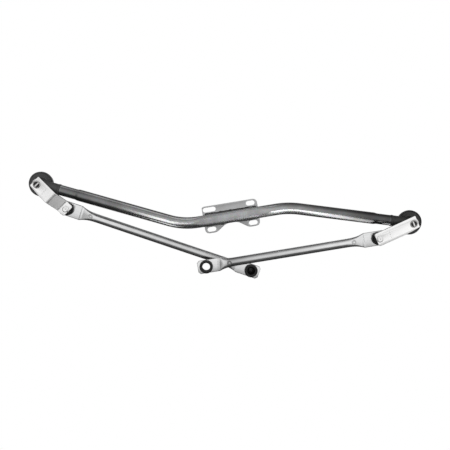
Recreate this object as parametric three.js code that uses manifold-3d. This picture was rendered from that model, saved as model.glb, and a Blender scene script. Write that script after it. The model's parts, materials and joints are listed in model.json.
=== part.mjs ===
// Windshield wiper linkage for a van: a bent frame tube with a slotted centre bracket, two die-cast
// spindle housings, two cranks and two tubular push rods with ball joints.
//
// Millimetres. The cranks face -Y and the wiper arms fit on the spindles at +Y. X runs from the left
// housing to the right one and Z is up. The origin is the middle of the centre bracket's rear face.

import * as THREE from 'three';
import { mergeVertices } from 'three/addons/utils/BufferGeometryUtils.js';
import Module from 'manifold-3d';

const wasm = await Module();
wasm.setup();

// ---- Plan layout: X and Z, with angles in degrees anticlockwise from +X seen from the crank side ----

const LEFT_PIVOT = { x: -358.2, z: 61.1 };
const RIGHT_PIVOT = { x: 339.1, z: -11.7 };
const LEFT_LEG_ANGLE = -15.8;
const MIDDLE_LEG_ANGLE = 9.3;
const RIGHT_LEG_ANGLE = -7.16;
const LEFT_CRANK = { angle: -45.6, length: 65.8, joggle: 18, tubeSide: 1 };
const RIGHT_CRANK = { angle: 204.9, length: 68.0, joggle: 0, tubeSide: -1 };
const LEFT_ROD = { angle: -18.9, length: 371 };
const RIGHT_ROD = { angle: 189.5, length: 329 };

// ---- Depths along Y, counted from the plane that holds the frame tube's axis ----

const BRACKET_FACE_DEPTH = 12;
const CRANK_FRONT = -18.5;
const CRANK_THICKNESS = 4;
const BALL_STANDOFF = 10.5;
const HOUSING_FRONT = -10.6;
const FLANGE_FRONT = 6.5;
const FLANGE_REAR = 10.5;
const HOUSING_NOSE = 40;
const SPINDLE_END = 68;

// ---- Sections and clearances ----

const GAP = 0.3;
const ROUND_SIDES = 18;
const FLANGE_SIDES = 28;
const TUBE_SIDES = 16;
const TUBE_RADIUS = 11;
const TUBE_WALL = 1.5;
const TUBE_STEPS = 40;
const TUBE_START = 40;
const LEFT_BEND_LENGTH = 57;
const RIGHT_BEND_LENGTH = 45;
const LEFT_CRIMP_LENGTH = 36;
const RIGHT_CRIMP_LENGTH = 31;
const CRIMP_SCALE = 0.905;
const PRESSED_HALF_DEPTH = 9;
const PRESSED_HALF_LENGTH = 56;
const PRESSED_RUN_OUT = 24;

const ROD_RADIUS = 8.4;
const ROD_WALL = 1.5;
const ROD_AXIS_OFFSET = 2;
const PLATE_HALF_THICKNESS = 1.5;
const PLATE_HOLE_RADIUS = 10.5;
const BALL_RADIUS = 8;
const BALL_FIT = 0.35;
const SPINDLE_RADIUS = 6;
const BUSH_OUTER_RADIUS = 8;
const FLANGE_RADIUS = 23.5;
const THREAD_RADIUS = 11;

// ---- Materials ----

const FINISHES = {
  galvanised: { color: 0x8d9092, roughness: 0.42, metalness: 0.85 },
  bright_zinc: { color: 0xe9e9e4, roughness: 0.3, metalness: 0.8 },
  zinc_rod: { color: 0xb9bbba, roughness: 0.35, metalness: 0.85 },
  bracket_steel: { color: 0xa3a4a5, roughness: 0.5, metalness: 0.8 },
  dark_casting: { color: 0x34353a, roughness: 0.6, metalness: 0.5 },
  black_plastic: { color: 0x111112, roughness: 0.5, metalness: 0 },
  black_rubber: { color: 0x1b1b1b, roughness: 0.85, metalness: 0 },
  spindle_steel: { color: 0xc4c5c4, roughness: 0.25, metalness: 0.95 },
  sintered_bronze: { color: 0xa07a4a, roughness: 0.5, metalness: 0.9 },
};

const wiperLinkage = new THREE.Group();
wiperLinkage.position.y = -BRACKET_FACE_DEPTH;

// ---- Helpers ----

function radians(degrees) {
  return THREE.MathUtils.degToRad(degrees);
}

function smoothRamp(value, from, to) {
  return THREE.MathUtils.smoothstep(value, from, to);
}

// The point at a distance from a plan point, in the direction of an angle.
function planPoint(start, angle, distance) {
  return {
    x: start.x + distance * Math.cos(radians(angle)),
    z: start.z + distance * Math.sin(radians(angle)),
  };
}

// The crossing of two plan lines, each given by a point and an angle.
function planCrossing(first, firstAngle, second, secondAngle) {
  const slope = Math.tan(radians(firstAngle));
  const otherSlope = Math.tan(radians(secondAngle));
  const x = (second.z - first.z + slope * first.x - otherSlope * second.x) / (slope - otherSlope);
  return { x, z: first.z + slope * (x - first.x) };
}

// A group at a plan point whose local X axis points along a plan angle.
function frameAt(point, angle) {
  const group = new THREE.Group();
  group.position.set(point.x, 0, point.z);
  group.rotation.y = -radians(angle);
  wiperLinkage.add(group);
  return group;
}

function addPiece(group, name, geometry, finish) {
  const mesh = new THREE.Mesh(geometry, new THREE.MeshStandardMaterial(FINISHES[finish]));
  mesh.name = name;
  group.add(mesh);
}

function toSolid(geometry) {
  const bare = geometry.clone();
  bare.deleteAttribute('normal');
  bare.deleteAttribute('uv');
  const merged = mergeVertices(bare, 1e-4);
  const mesh = new wasm.Mesh({
    numProp: 3,
    vertProperties: new Float32Array(merged.attributes.position.array),
    triVerts: new Uint32Array(merged.index.array),
  });
  return new wasm.Manifold(mesh);
}

function toGeometry(solid) {
  const mesh = solid.getMesh();
  const geometry = new THREE.BufferGeometry();
  geometry.setAttribute('position', new THREE.BufferAttribute(mesh.vertProperties, 3));
  geometry.setIndex(new THREE.BufferAttribute(mesh.triVerts, 1));
  geometry.computeVertexNormals();
  return geometry;
}

// A body of revolution about Y from [radius, depth] corners that close on themselves or on the axis.
function revolve(corners, sides = ROUND_SIDES) {
  const points = corners.map(([radius, depth]) => new THREE.Vector2(radius, depth));
  if (THREE.ShapeUtils.area(points) < 0) {
    points.reverse();
  }
  const touchesAxis = corners.some(([radius]) => radius === 0);
  if (!touchesAxis) {
    points.push(points[0].clone());
  }
  return new THREE.LatheGeometry(points, sides);
}

// A flat ring about the Y axis.
function ring(innerRadius, outerRadius, front, rear, sides = ROUND_SIDES) {
  const corners = [
    [innerRadius, front],
    [outerRadius, front],
    [outerRadius, rear],
    [innerRadius, rear],
  ];
  return revolve(corners, sides);
}

// A plate whose outline is drawn in X and Z, between two depths along Y.
function plate(outline, front, rear, curveSegments = 6) {
  const depth = rear - front;
  const geometry = new THREE.ExtrudeGeometry(outline, { depth, bevelEnabled: false, curveSegments });
  geometry.rotateX(Math.PI / 2);
  geometry.translate(0, rear, 0);
  return geometry;
}

// A round bar along local X between two distances.
function barAlongX(radius, from, to, sides = ROUND_SIDES) {
  const geometry = new THREE.CylinderGeometry(radius, radius, to - from, sides);
  geometry.rotateZ(Math.PI / 2);
  geometry.translate((from + to) / 2, 0, 0);
  return geometry;
}

function slotPath(x, z, length, width) {
  const reach = (length - width) / 2;
  const path = new THREE.Path();
  path.absarc(x - reach, z, width / 2, Math.PI / 2, Math.PI * 1.5);
  path.absarc(x + reach, z, width / 2, -Math.PI / 2, Math.PI / 2);
  path.closePath();
  return path;
}

// ---- Frame tube ----

function vectorAt(point) {
  return new THREE.Vector3(point.x, 0, point.z);
}

// Straight legs joined by a smooth bend at each corner.
function tubeRoute() {
  const start = planPoint(LEFT_PIVOT, LEFT_LEG_ANGLE, TUBE_START);
  const end = planPoint(RIGHT_PIVOT, RIGHT_LEG_ANGLE + 180, TUBE_START);
  const origin = { x: 0, z: 0 };
  const leftCorner = planCrossing(LEFT_PIVOT, LEFT_LEG_ANGLE, origin, MIDDLE_LEG_ANGLE);
  const rightCorner = planCrossing(origin, MIDDLE_LEG_ANGLE, RIGHT_PIVOT, RIGHT_LEG_ANGLE);
  const leftIn = planPoint(leftCorner, LEFT_LEG_ANGLE, -LEFT_BEND_LENGTH / 2);
  const leftOut = planPoint(leftCorner, MIDDLE_LEG_ANGLE, LEFT_BEND_LENGTH / 2);
  const rightIn = planPoint(rightCorner, MIDDLE_LEG_ANGLE, -RIGHT_BEND_LENGTH / 2);
  const rightOut = planPoint(rightCorner, RIGHT_LEG_ANGLE, RIGHT_BEND_LENGTH / 2);
  const route = new THREE.CurvePath();
  route.add(new THREE.LineCurve3(vectorAt(start), vectorAt(leftIn)));
  route.add(new THREE.QuadraticBezierCurve3(vectorAt(leftIn), vectorAt(leftCorner), vectorAt(leftOut)));
  route.add(new THREE.LineCurve3(vectorAt(leftOut), vectorAt(rightIn)));
  route.add(new THREE.QuadraticBezierCurve3(vectorAt(rightIn), vectorAt(rightCorner), vectorAt(rightOut)));
  route.add(new THREE.LineCurve3(vectorAt(rightOut), vectorAt(end)));
  return route;
}

function tubeSection() {
  const section = new THREE.Shape();
  section.absarc(0, 0, TUBE_RADIUS, 0, Math.PI * 2);
  const bore = new THREE.Path();
  bore.absarc(0, 0, TUBE_RADIUS - TUBE_WALL, 0, Math.PI * 2);
  section.holes.push(bore);
  return section;
}

// The tube is pressed oval where the bracket is welded on.
function pressMiddle(vertex) {
  const along = Math.abs(vertex.x / Math.cos(radians(MIDDLE_LEG_ANGLE)));
  const pressed = 1 - smoothRamp(along, PRESSED_HALF_LENGTH, PRESSED_HALF_LENGTH + PRESSED_RUN_OUT);
  vertex.y *= 1 + pressed * (PRESSED_HALF_DEPTH / TUBE_RADIUS - 1);
}

// Each end is crimped onto the spigot of its housing.
function crimpEnd(vertex, pivot, angle, length) {
  const direction = new THREE.Vector3(Math.cos(radians(angle)), 0, Math.sin(radians(angle)));
  const along = vertex.clone().sub(vectorAt(pivot)).dot(direction);
  const onAxis = vectorAt(pivot).addScaledVector(direction, along);
  const crimpEndsAt = TUBE_START + length;
  const crimped = 1 - smoothRamp(along, crimpEndsAt - 4, crimpEndsAt);
  vertex.lerp(onAxis, crimped * (1 - CRIMP_SCALE));
}

function frameTube() {
  const geometry = new THREE.ExtrudeGeometry(tubeSection(), {
    extrudePath: tubeRoute(),
    steps: TUBE_STEPS,
    curveSegments: TUBE_SIDES / 2,
    bevelEnabled: false,
  });
  const positions = geometry.attributes.position;
  const vertex = new THREE.Vector3();
  for (let index = 0; index < positions.count; index += 1) {
    vertex.fromBufferAttribute(positions, index);
    pressMiddle(vertex);
    crimpEnd(vertex, LEFT_PIVOT, LEFT_LEG_ANGLE, LEFT_CRIMP_LENGTH);
    crimpEnd(vertex, RIGHT_PIVOT, RIGHT_LEG_ANGLE + 180, RIGHT_CRIMP_LENGTH);
    positions.setXYZ(index, vertex.x, vertex.y, vertex.z);
  }
  return geometry;
}

// ---- Centre bracket: a flat plate behind the tube, with four slots and two ears below ----

const BRACKET = {
  halfWidth: 53,
  halfHeight: 26,
  cornerRadius: 8,
  cornerCut: 5,
  earCorner: 4,
  earWidth: 22,
  archHalfWidth: 12,
  archHeight: 13,
  slotX: 40,
  slotZ: 19,
  slotWidth: 9,
  slotLength: 17,
  longSlotLength: 25,
};

function bracketOutline() {
  const { halfWidth, halfHeight, cornerRadius, cornerCut, earCorner, earWidth } = BRACKET;
  const outline = new THREE.Shape();
  outline.moveTo(-halfWidth, halfHeight - cornerCut);
  outline.lineTo(-halfWidth, earCorner - halfHeight);
  outline.lineTo(earCorner - halfWidth, -halfHeight);
  outline.lineTo(earWidth - halfWidth, -halfHeight);
  outline.lineTo(-BRACKET.archHalfWidth, -BRACKET.archHeight);
  outline.quadraticCurveTo(0, 2 - BRACKET.archHeight, BRACKET.archHalfWidth, -BRACKET.archHeight);
  outline.lineTo(halfWidth - earWidth, -halfHeight);
  outline.lineTo(halfWidth - earCorner, -halfHeight);
  outline.lineTo(halfWidth, earCorner - halfHeight);
  outline.lineTo(halfWidth, halfHeight - cornerRadius);
  outline.quadraticCurveTo(halfWidth, halfHeight, halfWidth - cornerRadius, halfHeight);
  outline.lineTo(cornerCut - halfWidth, halfHeight);
  outline.closePath();
  return outline;
}

function centreBracket() {
  const { slotX, slotZ, slotWidth, slotLength, longSlotLength } = BRACKET;
  const outline = bracketOutline();
  outline.holes.push(slotPath(-slotX + 1, slotZ, longSlotLength, slotWidth));
  outline.holes.push(slotPath(slotX, slotZ, slotLength, slotWidth));
  outline.holes.push(slotPath(-slotX, -slotZ, slotLength, slotWidth));
  outline.holes.push(slotPath(slotX, -slotZ, slotLength, slotWidth));
  return plate(outline, PRESSED_HALF_DEPTH + GAP, BRACKET_FACE_DEPTH);
}

// ---- Spindle housing and what fits in and on it, all about the spindle's axis ----

const HOUSING = {
  barrelRadius: 12,
  boreRadius: 7.2,
  frontBushEnd: 5,
  rearBushStart: 22,
  rearBushEnd: 36,
  sealPocketRadius: 9,
  rimWidth: 2,
  rimHeight: 0.8,
  neckRadius: 10,
  neckCollarRadius: 10.6,
  neckCollarWidth: 4,
  spigotRadius: 8.2,
  spigotLength: 28,
  ribHalfThickness: 2,
};

function housingBody() {
  const rimInner = FLANGE_RADIUS - HOUSING.rimWidth;
  return revolve([
    [0, HOUSING_FRONT],
    [HOUSING.barrelRadius, HOUSING_FRONT],
    [HOUSING.barrelRadius, FLANGE_FRONT],
    [rimInner, FLANGE_FRONT],
    [rimInner, FLANGE_FRONT - HOUSING.rimHeight],
    [FLANGE_RADIUS, FLANGE_FRONT - HOUSING.rimHeight],
    [FLANGE_RADIUS, FLANGE_REAR],
    [THREAD_RADIUS, FLANGE_REAR],
    [THREAD_RADIUS, HOUSING_NOSE],
    [0, HOUSING_NOSE],
  ], FLANGE_SIDES);
}

// The bush seats, the grease space between them and the seal pocket, open at both ends.
function housingBore() {
  const { boreRadius, frontBushEnd, rearBushStart, rearBushEnd, sealPocketRadius } = HOUSING;
  const seat = BUSH_OUTER_RADIUS + GAP;
  return revolve([
    [0, HOUSING_FRONT - 1],
    [seat, HOUSING_FRONT - 1],
    [seat, frontBushEnd + GAP],
    [boreRadius, frontBushEnd + GAP],
    [boreRadius, rearBushStart - GAP],
    [seat, rearBushStart - GAP],
    [seat, rearBushEnd + GAP],
    [sealPocketRadius, rearBushEnd + GAP],
    [sealPocketRadius, HOUSING_NOSE + 1],
    [0, HOUSING_NOSE + 1],
  ]);
}

// A rib joins the flange to the neck along the tube's axis.
function housingRib() {
  const { barrelRadius, ribHalfThickness } = HOUSING;
  const rib = new THREE.Shape();
  rib.moveTo(barrelRadius - 2, 0);
  rib.lineTo(TUBE_START - 3, 0);
  rib.lineTo(FLANGE_RADIUS - 3, FLANGE_FRONT + 2);
  rib.lineTo(barrelRadius - 2, FLANGE_FRONT + 2);
  rib.closePath();
  const geometry = new THREE.ExtrudeGeometry(rib, { depth: 2 * ribHalfThickness, bevelEnabled: false });
  geometry.translate(0, 0, -ribHalfThickness);
  return geometry;
}

function housing() {
  const neckEnd = TUBE_START - 2 * GAP;
  const collarStart = neckEnd - HOUSING.neckCollarWidth;
  const spigotEnd = TUBE_START + HOUSING.spigotLength;
  const solid = toSolid(housingBody())
    .add(toSolid(barAlongX(HOUSING.neckRadius, 2, neckEnd - 1)))
    .add(toSolid(barAlongX(HOUSING.neckCollarRadius, collarStart, neckEnd)))
    .add(toSolid(barAlongX(HOUSING.spigotRadius, 3, spigotEnd)))
    .add(toSolid(housingRib()))
    .subtract(toSolid(housingBore()));
  return toGeometry(solid);
}

function oRing() {
  const sectionRadius = 1.25;
  const middleRadius = SPINDLE_RADIUS + 0.2 + sectionRadius;
  const geometry = new THREE.TorusGeometry(middleRadius, sectionRadius, 6, ROUND_SIDES);
  geometry.rotateX(Math.PI / 2);
  geometry.translate(0, HOUSING_NOSE - 2, 0);
  return geometry;
}

// The vehicle's panel is clamped between the gasket and the washer.
const GASKET_THICKNESS = 4;
const PANEL_SPACE = 2.5;
const PANEL_WASHER_THICKNESS = 1.5;
const NUT_THICKNESS = 8;
const NUT_ACROSS_FLATS = 27;

function panelNut() {
  const front = FLANGE_REAR + GASKET_THICKNESS + PANEL_SPACE + PANEL_WASHER_THICKNESS + 2 * GAP;
  const cornerRadius = NUT_ACROSS_FLATS / Math.sqrt(3);
  const hexagon = new THREE.CylinderGeometry(cornerRadius, cornerRadius, NUT_THICKNESS, 6);
  hexagon.translate(0, front + NUT_THICKNESS / 2, 0);
  const rounding = revolve([
    [0, front - 1],
    [cornerRadius + 1, front - 1],
    [cornerRadius + 1, front + NUT_THICKNESS - 2],
    [NUT_ACROSS_FLATS / 2 - 0.5, front + NUT_THICKNESS],
    [0, front + NUT_THICKNESS],
  ]);
  const hole = revolve([
    [0, front - 1],
    [THREAD_RADIUS + GAP, front - 1],
    [THREAD_RADIUS + GAP, front + NUT_THICKNESS + 1],
    [0, front + NUT_THICKNESS + 1],
  ]);
  return toGeometry(toSolid(hexagon).intersect(toSolid(rounding)).subtract(toSolid(hole)));
}

function addHousing(side, pivot, legAngle) {
  const group = frameAt(pivot, legAngle);
  const bushInner = SPINDLE_RADIUS + 0.2;
  const gasketFront = FLANGE_REAR + GAP;
  const gasketRear = gasketFront + GASKET_THICKNESS;
  const washerFront = gasketRear + PANEL_SPACE;
  const threadClear = THREAD_RADIUS + GAP;
  const frontBush = ring(bushInner, BUSH_OUTER_RADIUS, HOUSING_FRONT + GAP, HOUSING.frontBushEnd);
  const rearBush = ring(bushInner, BUSH_OUTER_RADIUS, HOUSING.rearBushStart, HOUSING.rearBushEnd);
  const gasket = ring(threadClear, FLANGE_RADIUS - 1.5, gasketFront, gasketRear);
  const washer = ring(threadClear, 20, washerFront, washerFront + PANEL_WASHER_THICKNESS);
  addPiece(group, `${side}_housing`, housing(), 'dark_casting');
  addPiece(group, `${side}_front_bush`, frontBush, 'sintered_bronze');
  addPiece(group, `${side}_rear_bush`, rearBush, 'sintered_bronze');
  addPiece(group, `${side}_spindle_seal`, oRing(), 'black_rubber');
  addPiece(group, `${side}_panel_gasket`, gasket, 'black_rubber');
  addPiece(group, `${side}_panel_washer`, washer, 'bright_zinc');
  addPiece(group, `${side}_panel_nut`, panelNut(), 'bright_zinc');
}

// ---- Spindle and its washers ----

const CRANK_REAR = CRANK_FRONT + CRANK_THICKNESS;
const CRANK_SPINDLE_HOLE = 6.8;
const REAR_WASHER_THICKNESS = 1;
const WAVE_WASHER_THICKNESS = 0.8;
const CIRCLIP_THICKNESS = 1.2;
const REAR_WASHER_FRONT = HOUSING_NOSE + GAP;
const WAVE_WASHER_FRONT = REAR_WASHER_FRONT + REAR_WASHER_THICKNESS + GAP;
const CIRCLIP_FRONT = WAVE_WASHER_FRONT + WAVE_WASHER_THICKNESS + GAP;
const GROOVE_RADIUS = 5.1;
const CONE_START = 47;
const CONE_END = 57;

// From the staked head at the crank, past the collar and the groove, to the cone and thread.
function spindle() {
  const headRadius = CRANK_SPINDLE_HOLE - GAP;
  const collarFront = CRANK_REAR + GAP;
  const grooveFront = CIRCLIP_FRONT - 0.2;
  const grooveRear = CIRCLIP_FRONT + CIRCLIP_THICKNESS + 0.2;
  return revolve([
    [0, CRANK_FRONT + 0.6],
    [3, CRANK_FRONT + 0.2],
    [4.2, CRANK_FRONT - 0.8],
    [headRadius - 0.6, CRANK_FRONT - 0.8],
    [headRadius, CRANK_FRONT],
    [headRadius, collarFront],
    [9, collarFront],
    [9, collarFront + 2],
    [SPINDLE_RADIUS, collarFront + 2],
    [SPINDLE_RADIUS, grooveFront],
    [GROOVE_RADIUS, grooveFront],
    [GROOVE_RADIUS, grooveRear],
    [SPINDLE_RADIUS, grooveRear],
    [SPINDLE_RADIUS, CONE_START],
    [4.8, CONE_END],
    [4, CONE_END + 0.5],
    [4, SPINDLE_END - 1],
    [3.2, SPINDLE_END],
    [0, SPINDLE_END],
  ]);
}

// An open ring that snaps into the spindle's groove.
function circlip() {
  const inner = GROOVE_RADIUS + 0.2;
  const outer = 8.2;
  const mouth = radians(35);
  const outline = new THREE.Shape();
  outline.absarc(0, 0, outer, mouth, 2 * Math.PI - mouth);
  outline.absarc(0, 0, inner, 2 * Math.PI - mouth, mouth, true);
  outline.closePath();
  return plate(outline, CIRCLIP_FRONT, CIRCLIP_FRONT + CIRCLIP_THICKNESS, 9);
}

// A thin ring bent into three waves.
function waveWasher() {
  const geometry = ring(SPINDLE_RADIUS + 0.3, 9.4, WAVE_WASHER_FRONT + 0.15, WAVE_WASHER_FRONT + 0.65);
  const positions = geometry.attributes.position;
  for (let index = 0; index < positions.count; index += 1) {
    const around = Math.atan2(positions.getZ(index), positions.getX(index));
    positions.setY(index, positions.getY(index) + 0.15 * Math.cos(3 * around));
  }
  return geometry;
}

function addSpindle(side, group) {
  const washerRear = HOUSING_FRONT - GAP;
  const frontWasher = ring(SPINDLE_RADIUS + 0.3, 11, washerRear - 1, washerRear);
  const rearWasher = ring(SPINDLE_RADIUS + 0.3, 10, REAR_WASHER_FRONT, WAVE_WASHER_FRONT - GAP);
  addPiece(group, `${side}_spindle`, spindle(), 'spindle_steel');
  addPiece(group, `${side}_front_thrust_washer`, frontWasher, 'spindle_steel');
  addPiece(group, `${side}_rear_thrust_washer`, rearWasher, 'spindle_steel');
  addPiece(group, `${side}_wave_washer`, waveWasher(), 'spindle_steel');
  addPiece(group, `${side}_circlip`, circlip(), 'spindle_steel');
}

// ---- Crank: a flat bar from the spindle to the ball stud, stepped back on the left side ----

const CRANK = {
  halfWidth: 12.25,
  pivotOverhang: 7.5,
  ballOverhang: 6.8,
  bevelLength: 20,
  bevelDepth: 2.2,
  pivotCorner: 2,
  ballCorner: 3,
  joggleStart: 35,
  joggleLength: 21,
  ballHole: 5.3,
};

// In plan, with the bevelled edge on the side away from the frame tube.
function crankOutline(length, tubeSide) {
  const { halfWidth, pivotOverhang, ballOverhang, bevelLength, bevelDepth, pivotCorner, ballCorner } = CRANK;
  const end = length + ballOverhang;
  const corners = [
    [-pivotOverhang, bevelDepth - halfWidth],
    [bevelLength - pivotOverhang, -halfWidth],
    [end - ballCorner, -halfWidth],
    [end, ballCorner - halfWidth],
    [end, halfWidth - ballCorner],
    [end - ballCorner, halfWidth],
    [pivotCorner - pivotOverhang, halfWidth],
    [-pivotOverhang, halfWidth - pivotCorner],
  ];
  return new THREE.Shape(corners.map(([x, z]) => new THREE.Vector2(x, z * tubeSide)));
}

// Seen from the edge: flat, or with a step that keeps the bar's thickness on the slope.
function crankEdgeProfile(length, joggle) {
  const from = -20;
  const to = length + 20;
  const profile = new THREE.Shape();
  profile.moveTo(from, CRANK_FRONT);
  if (joggle > 0) {
    const stepFrom = CRANK.joggleStart;
    const stepTo = stepFrom + CRANK.joggleLength;
    const shift = CRANK_THICKNESS * Math.tan(Math.atan2(joggle, CRANK.joggleLength) / 2);
    profile.lineTo(stepFrom, CRANK_FRONT);
    profile.lineTo(stepTo, CRANK_FRONT + joggle);
    profile.lineTo(to, CRANK_FRONT + joggle);
    profile.lineTo(to, CRANK_REAR + joggle);
    profile.lineTo(stepTo - shift, CRANK_REAR + joggle);
    profile.lineTo(stepFrom - shift, CRANK_REAR);
  } else {
    profile.lineTo(to, CRANK_FRONT);
    profile.lineTo(to, CRANK_REAR);
  }
  profile.lineTo(from, CRANK_REAR);
  profile.closePath();
  return profile;
}

function crank(length, joggle, tubeSide) {
  const bar = new THREE.ExtrudeGeometry(crankEdgeProfile(length, joggle), { depth: 40, bevelEnabled: false });
  bar.translate(0, 0, -20);
  const outline = plate(crankOutline(length, tubeSide), CRANK_FRONT - 10, CRANK_REAR + joggle + 10);
  const spindleHole = ring(0, CRANK_SPINDLE_HOLE, CRANK_FRONT - 5, CRANK_REAR + 5);
  const ballHole = ring(0, CRANK.ballHole, CRANK_FRONT - 5, CRANK_REAR + joggle + 5);
  ballHole.translate(length, 0, 0);
  const solid = toSolid(bar)
    .intersect(toSolid(outline))
    .subtract(toSolid(spindleHole))
    .subtract(toSolid(ballHole));
  return toGeometry(solid);
}

// ---- Ball stud, riveted through the crank, with its centre at depth 0 of its own frame ----

function ballStud() {
  const crankRear = -BALL_STANDOFF;
  const crankFront = crankRear - CRANK_THICKNESS;
  const shankRadius = CRANK.ballHole - GAP;
  const neckRadius = 5.2;
  const neckMeetsBall = Math.asin(neckRadius / BALL_RADIUS);
  const corners = [
    [0, crankFront - 0.9],
    [1.2, crankFront - 1.4],
    [5.2, crankFront - 1.4],
    [6, crankFront - GAP],
    [shankRadius, crankFront - GAP],
    [shankRadius, crankRear + GAP],
    [7.2, crankRear + GAP],
    [7.2, crankRear + GAP + 1.2],
    [neckRadius, crankRear + GAP + 1.8],
  ];
  const arcSteps = 7;
  for (let step = 0; step <= arcSteps; step += 1) {
    const angle = THREE.MathUtils.lerp(neckMeetsBall, Math.PI, step / arcSteps);
    const radius = step === arcSteps ? 0 : BALL_RADIUS * Math.sin(angle);
    corners.push([radius, -BALL_RADIUS * Math.cos(angle)]);
  }
  return revolve(corners);
}

// A soft ring round the stud's collar that keeps dirt off the ball.
function ballSeal() {
  return ring(7.5, 10.5, GAP - BALL_STANDOFF, GAP - BALL_STANDOFF + 1.5);
}

// ---- Ball sockets: a spool of plastic clipped through the rod's end plate ----

const SOCKET = {
  frontRadius: 12.65,
  rearRadius: 12,
  halfDepth: 6.4,
  mouthRadius: 7.9,
  throatHalfDepth: 3.2,
  domeDepth: 9.6,
};

// The cavity from the mouth to the ball's equator, as [radius, depth] corners.
function socketThroat() {
  const cavity = BALL_RADIUS + BALL_FIT;
  const { throatHalfDepth, halfDepth, mouthRadius } = SOCKET;
  const throatAngle = Math.asin(throatHalfDepth / cavity);
  return [
    [mouthRadius, -halfDepth],
    [cavity * Math.cos(throatAngle), -throatHalfDepth],
    [cavity * Math.cos(throatAngle / 2), -cavity * Math.sin(throatAngle / 2)],
    [cavity, 0],
  ];
}

// The spool's outside, from the mouth's edge round the waist to the rear edge.
function socketOutside() {
  const { frontRadius, rearRadius, halfDepth } = SOCKET;
  const waist = PLATE_HOLE_RADIUS - GAP;
  const seat = PLATE_HALF_THICKNESS + GAP;
  return [
    [frontRadius - 0.6, -halfDepth],
    [frontRadius, 0.6 - halfDepth],
    [frontRadius, -seat],
    [waist, -seat],
    [waist, seat],
    [rearRadius, seat],
    [rearRadius, halfDepth - 0.8],
    [rearRadius - 0.8, halfDepth],
  ];
}

function ringSocket() {
  const throat = socketThroat();
  const rearThroat = throat.slice(0, -1).map(([radius, depth]) => [radius, -depth]);
  return revolve([...socketOutside(), ...rearThroat, ...throat.toReversed()]);
}

function cupSocket() {
  const cavity = BALL_RADIUS + BALL_FIT;
  const bottom = [[0, cavity]];
  const arcSteps = 4;
  for (let step = 1; step < arcSteps; step += 1) {
    const angle = (step / arcSteps) * (Math.PI / 2);
    bottom.push([cavity * Math.sin(angle), cavity * Math.cos(angle)]);
  }
  return revolve([
    ...bottom,
    ...socketThroat().toReversed(),
    ...socketOutside(),
    [6.5, SOCKET.domeDepth],
    [0, SOCKET.domeDepth],
  ]);
}

// ---- Push rods: a tube pressed flat at both ends, with a drain hole behind each shoulder ----

const CRANK_PLATE = {
  overhang: 16.5,
  halfWidth: 14,
  shoulderStart: 27,
  shoulderEnd: 60,
  cornerCut: 7,
  drain: 46.5,
};
const MOTOR_PLATE = {
  overhang: 16.5,
  halfWidth: 12.9,
  shoulderStart: 27,
  shoulderEnd: 56,
  cornerCut: 4,
  drain: 44.5,
};
const DRAIN_HOLE_RADIUS = 2;
const SHOULDER_STEPS = 4;
const SHOULDER_EASE = 2.7;
const ROD_SIDES = 16;

function plateDistances(end) {
  const distances = [-end.overhang];
  for (let step = 0; step <= SHOULDER_STEPS; step += 1) {
    const share = (step / SHOULDER_STEPS) ** 1.5;
    distances.push(THREE.MathUtils.lerp(end.shoulderStart, end.shoulderEnd, share));
  }
  return distances;
}

// From 0 on an end plate to 1 along the tube: the tube opens with a crease and eases out into the round.
function opening(fromBall, end) {
  const share = (fromBall - end.shoulderStart) / (end.shoulderEnd - end.shoulderStart);
  return 1 - (1 - THREE.MathUtils.clamp(share, 0, 1)) ** SHOULDER_EASE;
}

// How round the rod is at a distance from its crank ball.
function roundness(distance, length) {
  return Math.min(opening(distance, CRANK_PLATE), opening(length - distance, MOTOR_PLATE));
}

// A bar along X through the given distances. Its section runs from a flat plate to a circle, and
// inset shrinks it on all sides.
function rodBar(distances, length, inset) {
  const spans = distances.length - 1;
  const geometry = new THREE.CylinderGeometry(1, 1, spans, ROD_SIDES, spans);
  const positions = geometry.attributes.position;
  for (let index = 0; index < positions.count; index += 1) {
    const station = Math.round(positions.getY(index) + spans / 2);
    const distance = distances[station];
    const round = roundness(distance, length);
    const plateHalfWidth = distance < length / 2 ? CRANK_PLATE.halfWidth : MOTOR_PLATE.halfWidth;
    const halfWidth = THREE.MathUtils.lerp(plateHalfWidth, ROD_RADIUS, round) - inset;
    const halfThickness = THREE.MathUtils.lerp(PLATE_HALF_THICKNESS, ROD_RADIUS, round) - inset;
    const squareness = THREE.MathUtils.lerp(0.4, 1, round);
    const across = positions.getX(index);
    const through = positions.getZ(index);
    positions.setXYZ(
      index,
      distance,
      ROD_AXIS_OFFSET * round + Math.sign(through) * Math.abs(through) ** squareness * halfThickness,
      Math.sign(across) * Math.abs(across) ** squareness * halfWidth,
    );
  }
  return geometry;
}

// The outline that cuts the plates' corners, as wide as the rod elsewhere.
function rodOutline(length) {
  const corners = [];
  const ends = [[CRANK_PLATE, 0, 1], [MOTOR_PLATE, length, -1]];
  for (const [end, centre, inward] of ends) {
    const tip = centre - inward * end.overhang;
    const half = end.halfWidth;
    const cutEnd = tip + inward * (end.cornerCut + 1);
    corners.push([cutEnd, inward * (half + 1)]);
    corners.push([tip, inward * (half - end.cornerCut)]);
    corners.push([tip, -inward * (half - end.cornerCut)]);
    corners.push([cutEnd, -inward * (half + 1)]);
  }
  return new THREE.Shape(corners.map(([x, z]) => new THREE.Vector2(x, z)));
}

function drilledHole(x, radius, front, rear) {
  const hole = ring(0, radius, front, rear);
  hole.translate(x, 0, 0);
  return toSolid(hole);
}

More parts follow.
